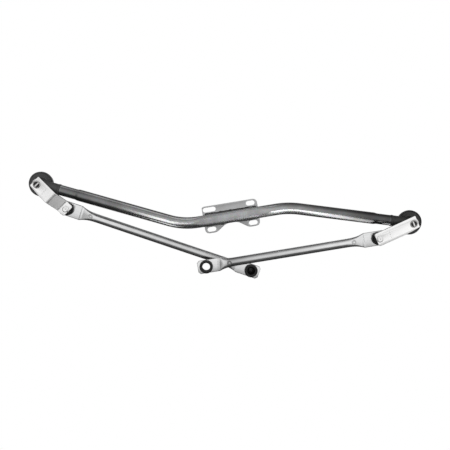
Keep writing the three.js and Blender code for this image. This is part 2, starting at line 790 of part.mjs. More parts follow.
function pushRod(length) {
  const crankSide = plateDistances(CRANK_PLATE);
  const motorSide = plateDistances(MOTOR_PLATE).map((distance) => length - distance).reverse();
  const boreStations = [...crankSide.slice(2), ...motorSide.slice(0, -2)];
  const drains = [CRANK_PLATE.drain, length - MOTOR_PLATE.drain];
  let solid = toSolid(rodBar([...crankSide, ...motorSide], length, 0))
    .intersect(toSolid(plate(rodOutline(length), -20, 20)))
    .subtract(toSolid(rodBar(boreStations, length, ROD_WALL)));
  for (const x of [0, length]) {
    solid = solid.subtract(drilledHole(x, PLATE_HOLE_RADIUS, -10, 10));
  }
  for (const x of drains) {
    solid = solid.subtract(drilledHole(x, DRAIN_HOLE_RADIUS, 0, 20));
  }
  return toGeometry(solid);
}

// ---- Assembly ----

function addCrankAndRod(side, pivot, crankSize, rodSize, motorSocketName, motorSocket) {
  const { angle, length, joggle, tubeSide } = crankSize;
  const spindleFrame = frameAt(pivot, angle);
  addSpindle(side, spindleFrame);
  addPiece(spindleFrame, `${side}_crank`, crank(length, joggle, tubeSide), 'bright_zinc');
  const rodFrame = frameAt(planPoint(pivot, angle, length), rodSize.angle);
  rodFrame.position.y = CRANK_REAR + joggle + BALL_STANDOFF;
  addPiece(rodFrame, `${side}_ball_stud`, ballStud(), 'bright_zinc');
  addPiece(rodFrame, `${side}_ball_seal`, ballSeal(), 'black_rubber');
  addPiece(rodFrame, `${side}_crank_socket`, cupSocket(), 'black_plastic');
  addPiece(rodFrame, `${side}_push_rod`, pushRod(rodSize.length), 'zinc_rod');
  motorSocket.translate(rodSize.length, 0, 0);
  addPiece(rodFrame, motorSocketName, motorSocket, 'black_plastic');
}

addPiece(wiperLinkage, 'frame_tube', frameTube(), 'galvanised');
addPiece(frameAt({ x: 0, z: 0 }, MIDDLE_LEG_ANGLE), 'centre_bracket', centreBracket(), 'bracket_steel');
addHousing('left', LEFT_PIVOT, LEFT_LEG_ANGLE);
addHousing('right', RIGHT_PIVOT, RIGHT_LEG_ANGLE + 180);
addCrankAndRod('left', LEFT_PIVOT, LEFT_CRANK, LEFT_ROD, 'left_motor_cup', cupSocket());
addCrankAndRod('right', RIGHT_PIVOT, RIGHT_CRANK, RIGHT_ROD, 'right_motor_ring', ringSocket());

export default wiperLinkage;
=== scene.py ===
import json
from functools import partial
from math import asin, atan2, ceil, copysign, cos, degrees, hypot, inf, pi, radians, sin, sqrt

import bmesh
import bpy
from mathutils import Matrix, Vector, noise


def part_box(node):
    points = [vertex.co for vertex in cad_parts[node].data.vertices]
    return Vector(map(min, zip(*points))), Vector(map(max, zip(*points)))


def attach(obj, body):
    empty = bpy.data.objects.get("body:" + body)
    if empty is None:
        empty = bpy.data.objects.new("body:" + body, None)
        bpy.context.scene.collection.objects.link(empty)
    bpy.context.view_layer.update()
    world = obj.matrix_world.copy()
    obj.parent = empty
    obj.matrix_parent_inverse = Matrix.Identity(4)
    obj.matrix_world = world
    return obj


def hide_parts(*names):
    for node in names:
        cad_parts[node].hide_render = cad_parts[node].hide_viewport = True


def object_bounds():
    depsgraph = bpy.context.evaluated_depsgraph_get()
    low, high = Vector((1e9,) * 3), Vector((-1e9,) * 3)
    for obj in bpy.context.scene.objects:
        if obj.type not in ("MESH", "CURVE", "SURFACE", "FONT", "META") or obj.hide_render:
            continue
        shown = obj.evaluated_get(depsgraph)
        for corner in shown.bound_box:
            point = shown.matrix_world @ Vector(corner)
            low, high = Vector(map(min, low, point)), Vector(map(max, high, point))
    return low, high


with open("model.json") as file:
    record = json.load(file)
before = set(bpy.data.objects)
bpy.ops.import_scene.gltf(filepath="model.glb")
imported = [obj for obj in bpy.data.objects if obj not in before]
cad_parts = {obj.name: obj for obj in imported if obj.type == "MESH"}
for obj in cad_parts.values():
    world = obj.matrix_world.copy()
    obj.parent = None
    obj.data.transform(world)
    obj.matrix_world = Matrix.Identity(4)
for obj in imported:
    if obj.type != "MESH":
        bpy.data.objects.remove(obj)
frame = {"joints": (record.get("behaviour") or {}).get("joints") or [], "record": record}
CAD_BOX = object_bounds()

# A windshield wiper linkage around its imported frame. Metres, in the frame's own axes: the cranks face -Y.
# Every piece is built about its own axis and then placed by a plan frame, whose local X runs along the
# piece, whose local Y is the frame's Y, and whose origin lies in the plane of the frame tube's axis.

# ---- Places, from the frame ----

JOINTS = {joint["name"]: joint for joint in frame["joints"]}
BODIES = frame["record"]["behaviour"]["bodies"]
BODY_OF = {node: body for body, nodes in BODIES.items() for node in nodes}
SLOT_OF = {row["node"]: row["material_slot"] for row in frame["record"]["subparts"]}
Y_AXIS = Vector((0, 1, 0))


def middle(node):
    low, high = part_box(node)
    return (low + high) / 2


TUBE_DEPTH = middle("frame_tube").y


def depth_span(node):
    """A node's front and rear depth, counted from the plane of the frame tube's axis."""
    low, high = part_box(node)
    return low.y - TUBE_DEPTH, high.y - TUBE_DEPTH


SIDES = ("left", "right")
PIVOT = {side: Vector(JOINTS[side + "_spindle_turn"]["pos_m"]) for side in SIDES}
CRANK_BALL = {side: Vector(JOINTS[side + "_rod_swing"]["pos_m"]) for side in SIDES}
MOTOR_SOCKET = {"left": "left_motor_cup", "right": "right_motor_ring"}
MOTOR_BALL = {side: middle(node) for side, node in MOTOR_SOCKET.items()}

CRANK_FRONT, CRANK_REAR = depth_span("right_crank")
CRANK_THICKNESS = CRANK_REAR - CRANK_FRONT
JOGGLE = {"left": depth_span("left_crank")[1] - CRANK_REAR, "right": 0.0}
HOUSING_FRONT, HOUSING_REAR = depth_span("left_housing")
SPINDLE_END = depth_span("left_spindle")[1]
BRACKET_FRONT, BRACKET_REAR = depth_span("centre_bracket")

# ---- Sizes ----

LEG_ANGLE = {"left": -15.8, "middle": 9.3, "right": -7.16}
TUBE_RADIUS = 0.011
TUBE_WALL = 0.0015
TUBE_START = 0.040
TUBE_STEP = 0.0025
TUBE_SIDES = 64
BEND_LENGTH = {"left": 0.057, "right": 0.045}
CRIMP_LENGTH = {"left": 0.036, "right": 0.031}
CRIMP_RAMP = 0.0055
CRIMP_SCALE = 0.905
PRESSED_HALF_DEPTH = 0.009
PRESSED_HALF_LENGTH = 0.050
PRESSED_RUN_OUT = 0.026

FLANGE_FRONT = 0.0065
FLANGE_REAR = 0.0105
FLANGE_RADIUS = 0.0233
BARREL_RADIUS = 0.012
NECK_RADIUS = 0.010
RIB_HALF = 0.002
SPIGOT_RADIUS = 0.0082
SPIGOT_END = TUBE_START + 0.028
NOSE_RADIUS = 0.011
NOSE_PITCH = 0.0015
NUT_ACROSS_FLATS = 0.027
SPINDLE_RADIUS = 0.006
CLEARANCE = 0.0002
RING_FIT = 0.0003

# A crank is a little wider on the side of the frame tube, and bevelled at the pivot on the other side.
CRANK_HALF_WIDTH = 0.01225
CRANK_TUBE_SIDE = {"pivot": 0.01325, "ball": 0.01285}
CRANK_PIVOT_OVERHANG = 0.0081
CRANK_BALL_OVERHANG = 0.0068
CRANK_EDGE = 0.0007
CRANK_BEVEL_END = 0.0125
CRANK_BEVEL_DEPTH = 0.0022
JOGGLE_START = 0.035
JOGGLE_LENGTH = 0.021
JOGGLE_RADIUS = 0.0028
HEAD_RADIUS = 0.0065

BALL_RADIUS = 0.008
BALL_FIT = 0.0002
BALL_STANDOFF = 0.0105
SOCKET_RADIUS = 0.01265
SOCKET_REAR_RADIUS = 0.012
SOCKET_WAIST = 0.0102
SOCKET_HALF_DEPTH = 0.0064
SOCKET_DOME = 0.0096
SOCKET_FLOOR = 0.0084

ROD_RADIUS = 0.0084
ROD_WALL = 0.0015
ROD_AXIS_OFFSET = 0.002
PLATE_HALF_THICKNESS = 0.0015
PLATE_HOLE_RADIUS = 0.0105
PLATE_OVERHANG = 0.0165
PLATE_SHOULDER = 0.027
SHOULDER_EASE = 2.7
CREASE_EASE = 1.5
CREASE_HALF_WIDTH = 0.002
LATE_RISE = (0.0405, 0.0425)
TIP_LENGTH = 0.0007
TIP_DROP = 0.0006

# The pressed end of a rod, with distances from its ball. It thickens from the crease until it has risen to
# the tube's full depth, a share of it in one late step, and it narrows from its shoulder until it is round.
CRANK_PLATE = {
    "half_width": 0.014,
    "corner_cut": 0.007,
    "crease": 0.028,
    "ridge": 0.0005,
    "risen": 0.064,
    "late_share": 0.0,
    "round_from": 0.060,
    "skew": 0.0,
    "dimple": 0.0465,
}
MOTOR_PLATE = {
    "half_width": 0.0129,
    "corner_cut": 0.004,
    "crease": 0.0235,
    "ridge": 0.0005,
    "risen": 0.0355,
    "late_share": 0.2,
    "round_from": 0.056,
    "skew": -0.16,
    "dimple": 0.0445,
}
GENTLE_RISE = {"crease": 0.034, "risen": 0.054, "late_share": 0.0, "skew": 0.0}
ROD_PLATES = {
    "left": (CRANK_PLATE, {**MOTOR_PLATE, **GENTLE_RISE}),
    "right": ({**CRANK_PLATE, "ridge": 0.0009}, MOTOR_PLATE),
}
DRAIN_RADIUS = 0.002
DIMPLE_RADIUS = 0.0045

# How strongly painted light and painted shade show: painted light on the left casting, and painted shade in
# the dimples at a rod's two ends and along the rods' tubes, heavier towards the motor.
HOUSING_PAINTED_LIGHT = {"left": 0.6, "right": 0.0}
DIMPLE_PAINTED_SHADE = (0.35, 1.0)
ROD_PAINTED_SHADE = 0.3
ROD_PAINTED_SHADE_AT_MOTOR = 1.9

SHARP_ANGLE = radians(32)
LATHE_SIDES = 96


# ---- Curves and outlines ----


def share_between(value, start, end):
    """How far a value has come from start to end, kept within 0 and 1."""
    return min(1.0, max(0.0, (value - start) / (end - start)))


def smooth_step(value, start, end):
    share = share_between(value, start, end)
    return share * share * (3 - 2 * share)


def evenly(start, end, steps):
    """Values from start to end in equal steps."""
    return [start + (end - start) * step / steps for step in range(steps + 1)]


def angles_round(sides):
    return [2 * pi * side / sides for side in range(sides)]


def curve_point(start, corner, end, share):
    """A point on the smooth curve between two points whose tangents meet in a corner."""
    return start.lerp(corner, share).lerp(corner.lerp(end, share), share)


def soften(corners, radius=0.0, steps=4):
    """A closed outline with each corner rounded; a third number in a corner is its own rounding."""
    result = []
    for index, corner in enumerate(corners):
        here = Vector(corner[:2])
        before = Vector(corners[index - 1][:2])
        after = Vector(corners[(index + 1) % len(corners)][:2])
        reach = corner[2] if len(corner) > 2 else radius
        reach = min(reach, (before - here).length * 0.45, (after - here).length * 0.45)
        if reach <= 0:
            result.append(here)
            continue
        start = here + (before - here).normalized() * reach
        end = here + (after - here).normalized() * reach
        result += [curve_point(start, here, end, step / steps) for step in range(steps + 1)]
    return result


def arc(centre, radius, start, end, steps):
    """Points on a circle between two angles in degrees."""
    angles = [radians(angle) for angle in evenly(start, end, steps)]
    return [(centre[0] + radius * cos(angle), centre[1] + radius * sin(angle)) for angle in angles]


def from_depth(depth, *points):
    """Profile points whose depths are counted from one depth."""
    return [(radius, depth + offset) for radius, offset in points]


# ---- Meshes ----


def finished(mesh_builder):
    """A mesh from a bmesh, with coincident points merged and every face pointing out."""
    bmesh.ops.remove_doubles(mesh_builder, verts=mesh_builder.verts, dist=1e-7)
    bmesh.ops.recalc_face_normals(mesh_builder, faces=mesh_builder.faces)
    mesh = bpy.data.meshes.new("piece")
    mesh_builder.to_mesh(mesh)
    mesh_builder.free()
    return mesh


def skin(sections, loop=False):
    """A closed mesh through closed sections of equally many points, capped or joined end to end."""
    builder = bmesh.new()
    rings = [[builder.verts.new(point) for point in section] for section in sections]
    pairs = list(zip(rings, rings[1:]))
    if loop:
        pairs.append((rings[-1], rings[0]))
    for ring, following in pairs:
        for index, corner in enumerate(ring):
            after = (index + 1) % len(ring)
            builder.faces.new((corner, ring[after], following[after], following[index]))
    if not loop:
        builder.faces.new(rings[0])
        builder.faces.new(rings[-1])
    return finished(builder)


def lathe(profile, sides=LATHE_SIDES, relief=None):
    """A body of revolution about local Y from (radius, depth) points that close on themselves or on the
    axis. Relief changes a point's radius by its depth and its angle."""
    sections = []
    for angle in angles_round(sides):
        section = []
        for radius, depth in profile:
            if relief:
                radius = relief(radius, depth, angle)
            section.append(Vector((radius * cos(angle), depth, radius * sin(angle))))
        sections.append(section)
    return skin(sections, loop=True)


def turned(corners, rounding=0.0, steps=4, **options):
    """A lathed body with softened corners."""
    return lathe(soften(corners, rounding, steps), **options)


def washer(inner, outer, front, rear, edge=0.0002):
    return turned([(inner, front), (outer, front), (outer, rear), (inner, rear)], edge, 2)


def sheet_metal(outline, holes, front, rear, edge):
    """A flat plate between two depths, drawn in local X and Z, with rounded edges."""
    curve = bpy.data.curves.new("outline", "CURVE")
    curve.dimensions = "2D"
    curve.fill_mode = "BOTH"
    curve.extrude = (rear - front) / 2 - edge
    curve.bevel_depth = edge
    curve.bevel_resolution = 2
    curve.offset = -edge
    for loop in [outline, *holes]:
        spline = curve.splines.new("POLY")
        spline.points.add(len(loop) - 1)
        for point, (x, z) in zip(spline.points, loop):
            point.co = (x, z, 0, 1)
        spline.use_cyclic_u = True
    drawing = bpy.data.objects.new("outline", curve)
    mesh = bpy.data.meshes.new_from_object(drawing)
    bpy.data.objects.remove(drawing)
    mesh.transform(Matrix.Translation((0, (front + rear) / 2, 0)) @ Matrix.Rotation(pi / 2, 4, "X"))
    return joined([mesh])


def joined(meshes):
    """Several meshes as one."""
    builder = bmesh.new()
    for mesh in meshes:
        builder.from_mesh(mesh)
    return finished(builder)


def moved(mesh, x=0.0, y=0.0, z=0.0):
    mesh.transform(Matrix.Translation((x, y, z)))
    return mesh


def in_scene(name, data):
    """A new object in the scene."""
    made = bpy.data.objects.new(name, data)
    bpy.context.scene.collection.objects.link(made)
    return made


def with_modifiers(mesh, *settings):
    """The mesh after modifiers, each given as its type and its values."""
    holder = in_scene("holder", mesh)
    for kind, values in settings:
        modifier = holder.modifiers.new(kind, kind)
        for key, value in values.items():
            setattr(modifier, key, value)
    depsgraph = bpy.context.evaluated_depsgraph_get()
    result = bpy.data.meshes.new_from_object(holder.evaluated_get(depsgraph))
    bpy.data.objects.remove(holder)
    return result


def combined(base, tool, operation):
    """The UNION or DIFFERENCE of two closed meshes."""
    other = in_scene("tool", tool)
    values = {"object": other, "operation": operation, "solver": "MANIFOLD"}
    result = with_modifiers(base, ("BOOLEAN", values))
    bpy.data.objects.remove(other)
    return result


def with_painted_shade_and_light(mesh, painted_tone_at):
    """The mesh with a share of painted shade and painted light at each point, kept for the materials."""
    painted_shade_and_light = mesh.attributes.new("painted_shade_and_light", "FLOAT", "POINT")
    painted_shade_and_light.data.foreach_set("value", [float(painted_tone_at(vertex.co)) for vertex in mesh.vertices])
    return mesh


def pin(radius, front, rear, x=0.0, sides=48):
    """A plain cutting cylinder along local Y."""
    return moved(lathe([(0, front), (radius, front), (radius, rear), (0, rear)], sides), x=x)


# ---- Plan frames and pieces ----


def plan_frame(origin, direction, depth=TUBE_DEPTH):
    """The placement whose local X follows a direction in plan from an origin."""
    along = Vector((direction.x, 0, direction.z)).normalized()
    across = along.cross(Y_AXIS)
    turn = Matrix((along, Y_AXIS, across)).transposed().to_4x4()
    return Matrix.Translation((origin.x, depth, origin.z)) @ turn


def heading(angle):
    return Vector((cos(radians(angle)), 0, sin(radians(angle))))


def keep_places(mesh, places):
    """Keeps each point's place along the piece for the materials."""
    straight = mesh.attributes.new("straight", "FLOAT_VECTOR", "POINT")
    straight.data.foreach_set("vector", [value for place in places for value in place])


def set_down(name, mesh, place):
    """A smooth-shaded object whose mesh is turned into the frame's axes."""
    if "straight" not in mesh.attributes:
        keep_places(mesh, [vertex.co for vertex in mesh.vertices])
    mesh.transform(place)
    mesh.shade_smooth()
    return in_scene(name, mesh)


def add_piece(name, mesh, place, node):
    """A piece that stands for a CAD node, and takes its body and finish from it."""
    piece = set_down(name, mesh, place)
    mesh.set_sharp_from_angle(angle=SHARP_ANGLE)
    mesh.materials.clear()
    mesh.materials.append(MATERIALS[SLOT_OF[node]])
    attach(piece, BODY_OF[node])
    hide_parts(node)
    return piece


# ---- Node helpers for the materials and the world ----


class NodeTree:
    """The nodes of a material or a world."""

    def __init__(self, owner):
        owner.use_nodes = True
        self.tree = owner.node_tree

    def node(self, kind, inputs=None, **settings):
        made = self.tree.nodes.new("ShaderNode" + kind)
        for key, value in settings.items():
            setattr(made, key, value)
        for key, value in (inputs or {}).items():
            self.feed(made.inputs[key], value)
        return made

    def feed(self, socket, value):
        if isinstance(value, bpy.types.NodeSocket):
            self.tree.links.new(value, socket)
        else:
            socket.default_value = value

    def axes(self, vector):
        """The X, Y and Z of a vector."""
        return self.node("SeparateXYZ", {0: vector}).outputs

    def product(self, first, second):
        return self.node("Math", {0: first, 1: second}, operation="MULTIPLY").outputs[0]

    def spread(self, value, low, high, to_low=0.0, to_high=1.0, **settings):
        """A value brought from one range to another."""
        inputs = {"Value": value, "From Min": low, "From Max": high, "To Min": to_low, "To Max": to_high}
        return self.node("MapRange", inputs, **settings).outputs["Result"]


class Surface(NodeTree):
    """A Principled material: a base colour, layers of colour over it, bumps, and a roughness."""

    def __init__(self, name, base, metallic=0.0):
        self.material = bpy.data.materials.new(name)
        super().__init__(self.material)
        self.shader = self.tree.nodes["Principled BSDF"]
        self.shader.inputs["Metallic"].default_value = metallic
        self.colour = base
        self.normal = None

    def place(self, stretch=(1, 1, 1)):
        """Where a point lies along its own piece, whichever way the piece is turned or bent, stretched."""
        source = self.node("Attribute", attribute_name="straight").outputs["Vector"]
        scaled = self.node("VectorMath", {0: source, 1: stretch}, operation="MULTIPLY")
        return scaled.outputs[0]

    def noise(self, scale, detail=4.0, roughness=0.55, stretch=(1, 1, 1)):
        inputs = {"Vector": self.place(stretch), "Scale": scale, "Detail": detail, "Roughness": roughness}
        return self.node("TexNoise", inputs).outputs["Fac"]

    def cells(self, scale):
        return self.node("TexVoronoi", {"Vector": self.place(), "Scale": scale}).outputs["Color"]

    def cut_faces(self):
        """1 on the faces of a flat piece that don't face forwards or back, and 0 on its flats."""
        facing = self.axes(self.node("TexCoord").outputs["Normal"])[1]
        facing = self.node("Math", {0: facing}, operation="ABSOLUTE").outputs[0]
        return self.spread(facing, 0.35, 0.8, 1.0, 0.0)

    def painted_shade_and_light(self):
        """The share of painted shade and painted light that a piece keeps in its own attribute."""
        return self.node("Attribute", attribute_name="painted_shade_and_light").outputs["Fac"]

    def layer(self, share, colour, blend="MIX"):
        """Lays a colour over what is there."""
        made = self.node("Mix", data_type="RGBA", blend_type=blend)
        self.feed(made.inputs[0], share)
        self.feed(made.inputs[6], self.colour)
        self.feed(made.inputs[7], colour)
        self.colour = made.outputs[2]

    def stain(self, pattern, low, high, colour, most=1.0):
        """Lays a colour over what is there where a pattern is high."""
        self.layer(self.spread(pattern, low, high, 0, most), colour)

    def wear_and_highlight(self, low, high, colour):
        """Lays a colour on convex edges, or on concave ones if the limits fall. It serves for worn edges and
        for a painted highlight in creases.
        """
        self.stain(self.node("NewGeometry").outputs["Pointiness"], low, high, colour)

    def bump(self, height, strength, distance):
        inputs = {"Height": height, "Strength": strength, "Distance": distance}
        if self.normal:
            inputs["Normal"] = self.normal
        self.normal = self.node("Bump", inputs).outputs["Normal"]

    def finish(self, pattern, smooth, rough, high=0.7):
        """The material, its roughness between two values by a pattern."""
        self.feed(self.shader.inputs["Base Color"], self.colour)
        self.feed(self.shader.inputs["Roughness"], self.spread(pattern, 0.3, high, smooth, rough))
        self.feed(self.shader.inputs["Normal"], self.normal)
        return self.material


def grey(value, warmth=0.0):
    return (value * (1 + warmth), value, value * (1 - warmth), 1)


# ---- Materials, one for each slot of the record ----


def galvanised_tube():
    """Satin zinc with soft streaks along the tube and a cloudy spangle, with painted shade that darkens it
    towards both ends.
    """
    surface = Surface("galvanised_tube", grey(0.235), metallic=1.0)
    streaks = surface.noise(1.0, 2.5, 0.5, stretch=(9, 260, 260))
    clouds = surface.noise(38.0, 3.0, 0.5)
    surface.stain(clouds, 0.35, 0.68, grey(0.33, -0.012))
    surface.stain(streaks, 0.42, 0.7, grey(0.40), 0.4)
    surface.layer(0.10, surface.cells(420.0), "SOFT_LIGHT")
    surface.wear_and_highlight(0.53, 0.6, grey(0.5))
    # Painted shade: the colour is darkened towards both ends of the tube.
    from_middle = surface.axes(surface.place())[0]
    shade_to_left = surface.spread(from_middle, -0.28, -0.10, 0.50, 1.0)
    shade_to_right = surface.spread(from_middle, 0.12, 0.27, 1.0, 0.28)
    surface.layer(1.0, surface.product(shade_to_left, shade_to_right), "MULTIPLY")
    surface.bump(streaks, 0.03, 0.0002)
    surface.bump(clouds, 0.02, 0.0006)
    return surface.finish(clouds, 0.20, 0.26)


def bracket_steel():
    """Zinc-plated sheet, rolled grain along its length and clouded plating."""
    surface = Surface("bracket_steel", grey(0.42), metallic=1.0)
    clouds = surface.noise(55.0, 6.0, 0.6)
    surface.stain(clouds, 0.35, 0.65, grey(0.52, -0.01))
    surface.wear_and_highlight(0.54, 0.62, grey(0.22))
    surface.bump(surface.noise(1.0, 3.0, stretch=(120, 1500, 1500)), 0.12, 0.0001)
    surface.bump(clouds, 0.08, 0.0004)
    return surface.finish(clouds, 0.36, 0.5)


def dark_casting():
    """Black-coated die casting: fine orange peel, rubbed at its edges, and painted lighter where a piece
    carries painted light.
    """
    surface = Surface("dark_casting", grey(0.014, 0.01))
    swells = surface.noise(170.0)
    surface.stain(swells, 0.35, 0.68, grey(0.034, 0.02))
    surface.wear_and_highlight(0.53, 0.60, grey(0.11))
    # Painted light: the share a piece carries in its attribute lightens the colour.
    surface.layer(surface.painted_shade_and_light(), grey(0.085, -0.01))
    surface.bump(surface.noise(900.0, 3.0), 0.25, 0.0002)
    surface.bump(swells, 0.25, 0.0005)
    surface.shader.inputs["Specular IOR Level"].default_value = 0.55
    return surface.finish(swells, 0.42, 0.6)


def sintered_bronze():
    """Porous bronze, dark with oil."""
    surface = Surface("sintered_bronze", (0.30, 0.18, 0.075, 1), metallic=1.0)
    pores = surface.noise(2600.0, 2.0)
    stains = surface.noise(260.0)
    surface.stain(stains, 0.3, 0.7, (0.48, 0.31, 0.15, 1))
    surface.stain(pores, 0.56, 0.64, (0.05, 0.035, 0.02, 1))
    surface.bump(pores, 0.4, 0.0001)
    return surface.finish(stains, 0.3, 0.5)


def black_rubber():
    """Moulded rubber with a grey bloom."""
    surface = Surface("black_rubber", grey(0.012))
    bloom = surface.noise(140.0, 5.0)
    surface.stain(bloom, 0.4, 0.75, grey(0.032))
    surface.bump(surface.noise(1800.0, 3.0), 0.25, 0.0001)
    return surface.finish(bloom, 0.65, 0.85)


def black_plastic():
    """Moulded acetal with a soft sheen, slightly scuffed."""
    surface = Surface("black_plastic", grey(0.006))
    scuffs = surface.noise(230.0, 6.0, 0.65)
    surface.stain(scuffs, 0.45, 0.8, grey(0.020))
    surface.bump(surface.noise(1400.0, 3.0), 0.10, 0.0001)
    surface.shader.inputs["Specular IOR Level"].default_value = 0.4
    return surface.finish(scuffs, 0.34, 0.52, high=0.75)


def bright_zinc():
    """Bright zinc plate, near white, with faint clouds and cut edges that show grey."""
    surface = Surface("bright_zinc", grey(0.96, 0.003), metallic=1.0)
    clouds = surface.noise(90.0, 5.0, 0.6)
    surface.stain(clouds, 0.3, 0.7, grey(1.0, 0.002))
    surface.layer(surface.cut_faces(), grey(0.22))
    surface.bump(clouds, 0.03, 0.0004)
    return surface.finish(clouds, 0.30, 0.42)


def spindle_steel():
    """Ground and plated steel with fine rings round its axis."""
    surface = Surface("spindle_steel", grey(0.66), metallic=1.0)
    rings = surface.noise(1.0, stretch=(30, 2600, 30))
    clouds = surface.noise(160.0)
    surface.stain(clouds, 0.3, 0.7, grey(0.78, 0.01))
    surface.stain(rings, 0.5, 0.8, grey(0.38), 0.35)
    # Painted shade: the sunk face of the head is darkened.
    surface.layer(surface.painted_shade_and_light(), grey(0.04))
    surface.bump(rings, 0.12, 0.00006)
    return surface.finish(clouds, 0.22, 0.34)


def zinc_rod():
    """Zinc-plated drawn tube: long fine drawing lines, cloudy plating, worn bright edges, a painted highlight
    in its creases, and painted shade.
    """
    surface = Surface("zinc_rod", grey(0.68), metallic=1.0)
    lines = surface.noise(1.0, 5.0, 0.6, stretch=(14, 900, 900))
    clouds = surface.noise(60.0, 5.0, 0.6)
    surface.stain(clouds, 0.32, 0.7, grey(0.82, -0.006))
    surface.stain(lines, 0.5, 0.78, grey(0.44), 0.45)
    surface.wear_and_highlight(0.54, 0.62, grey(0.9))
    # Painted highlight: concave creases are painted near white.
    surface.wear_and_highlight(0.475, 0.44, grey(1.0))
    # Painted shade: the share a piece carries in its attribute darkens the colour.
    surface.layer(surface.painted_shade_and_light(), grey(0.18))
    surface.bump(lines, 0.14, 0.00012)
    surface.bump(clouds, 0.08, 0.0004)
    return surface.finish(clouds, 0.20, 0.30)


def weld_metal():
    """Weld bead, scaled dark with heat; its near-black colour also paints the shade in the corner between the
    tube and the bracket.
    """
    surface = Surface("weld_metal", grey(0.02), metallic=0.7)
    scale = surface.noise(420.0, 5.0)
    surface.stain(scale, 0.35, 0.65, grey(0.09, 0.03))
    surface.bump(scale, 0.4, 0.0003)
    return surface.finish(scale, 0.4, 0.6)


FINISHES = (
    galvanised_tube, bracket_steel, dark_casting, sintered_bronze, black_rubber, bright_zinc,
    spindle_steel, zinc_rod, black_plastic,
)
MATERIALS = {finish.__name__: finish() for finish in FINISHES}
WELD = weld_metal()


# ---- Frame tube ----


def crossing(first, first_way, second, second_way):
    """Where two lines in plan meet."""
    share = (second - first).cross(second_way).y / first_way.cross(second_way).y
    return first + first_way * share


def tube_route():
    """Centre points in plan: straight legs joined by a smooth bend at each corner."""
    left, right = (Vector((PIVOT[side].x, 0, PIVOT[side].z)) for side in SIDES)
    ways = [heading(LEG_ANGLE[leg]) for leg in ("left", "middle", "right")]
    points_on = [left, Vector((0, 0, 0)), right]
    stops = [left + ways[0] * TUBE_START]
    corners = [None]
    for leg, side in enumerate(SIDES):
        corner = crossing(points_on[leg], ways[leg], points_on[leg + 1], ways[leg + 1])
        half_bend = BEND_LENGTH[side] / 2
        stops += [corner - ways[leg] * half_bend, corner + ways[leg + 1] * half_bend]
        corners += [corner, None]
    stops.append(right - ways[2] * TUBE_START)
    route = [stops[0]]
    for start, end, corner in zip(stops, stops[1:], corners):
        for share in evenly(0, 1, ceil((end - start).length / TUBE_STEP))[1:]:
            route.append(curve_point(start, corner, end, share) if corner else start.lerp(end, share))
    return route


def distances_along(route):
    distances = [0.0]
    for before, after in zip(route, route[1:]):
        distances.append(distances[-1] + (after - before).length)
    return distances


def tube_ring(radius, pressed, crimped):
    """Section points as (across, depth): round, or pressed to a rounded box, or crimped smaller."""
    power = 1 - 0.42 * pressed
    depth_scale = 1 + pressed * (PRESSED_HALF_DEPTH / TUBE_RADIUS - 1)
    size = radius * (1 + crimped * (CRIMP_SCALE - 1))
    points = []
    for side in range(TUBE_SIDES):
        angle = 2 * pi * (side + 0.5) / TUBE_SIDES
        across, depth = cos(angle), sin(angle)
        across = copysign(abs(across) ** power, across)
        depth = copysign(abs(depth) ** power, depth)
        points.append((size * across, size * depth_scale * depth))
    return points


def crimp(from_end, side):
    length = CRIMP_LENGTH[side]
    return 1 - smooth_step(from_end, length - CRIMP_RAMP, length)


def tube_wall(route, radius):
    """Rings along one face of the tube's wall. Each point comes with its place on the straight tube."""
    distances = distances_along(route)
    total = distances[-1]
    middle_way = heading(LEG_ANGLE["middle"])
    rings = []
    for index, (centre, distance) in enumerate(zip(route, distances)):
        way = (route[min(index + 1, len(route) - 1)] - route[max(index - 1, 0)]).normalized()
        side_way = way.cross(Y_AXIS)
        past_pressed = abs(centre.dot(middle_way)) - PRESSED_HALF_LENGTH
        pressed = 1 - smooth_step(past_pressed, 0, PRESSED_RUN_OUT)
        crimped = max(crimp(distance, "left"), crimp(total - distance, "right"))
        ring = []
        for across, depth in tube_ring(radius, pressed, crimped):
            point = centre + side_way * across + Y_AXIS * depth
            ring.append((point, (distance - total / 2, depth, across)))
        rings.append(ring)
    return rings


def frame_tube():
    route = tube_route()
    sections = tube_wall(route, TUBE_RADIUS) + tube_wall(route, TUBE_RADIUS - TUBE_WALL)[::-1]
    mesh = skin([[point for point, _ in section] for section in sections], loop=True)
    keep_places(mesh, [place for section in sections for _, place in section])
    return mesh


# ---- Centre bracket and its welds ----

BRACKET_HALF = Vector((0.053, 0.026))
SLOT_WIDTH = 0.009
SLOTS = (
    (-0.039, 0.019, 0.025),
    (0.040, 0.019, 0.017),
    (-0.040, -0.019, 0.017),
    (0.040, -0.019, 0.017),
)


def slot_outline(x, z, length):
    reach = (length - SLOT_WIDTH) / 2
    left = arc((x - reach, z), SLOT_WIDTH / 2, 90, 270, 12)
    right = arc((x + reach, z), SLOT_WIDTH / 2, -90, 90, 12)
    return left + right


def centre_bracket():
    half_width, half_height = BRACKET_HALF
    ear = 0.022
    arch_half_width, arch_height = 0.012, 0.013
    corners = [
        (-half_width, half_height, 0.005), (-half_width, -half_height, 0.009),
        (ear - half_width, -half_height, 0.005), (-arch_half_width, -arch_height, 0.008),
        (0, 0.001 - arch_height, 0.008), (arch_half_width, -arch_height, 0.008),
        (half_width - ear, -half_height, 0.005), (half_width, -half_height, 0.009),
        (half_width, half_height, 0.009),
    ]
    holes = [slot_outline(*slot) for slot in SLOTS]
    return sheet_metal(soften(corners, 0.004, steps=6), holes, BRACKET_FRONT, BRACKET_REAR, 0.0004)


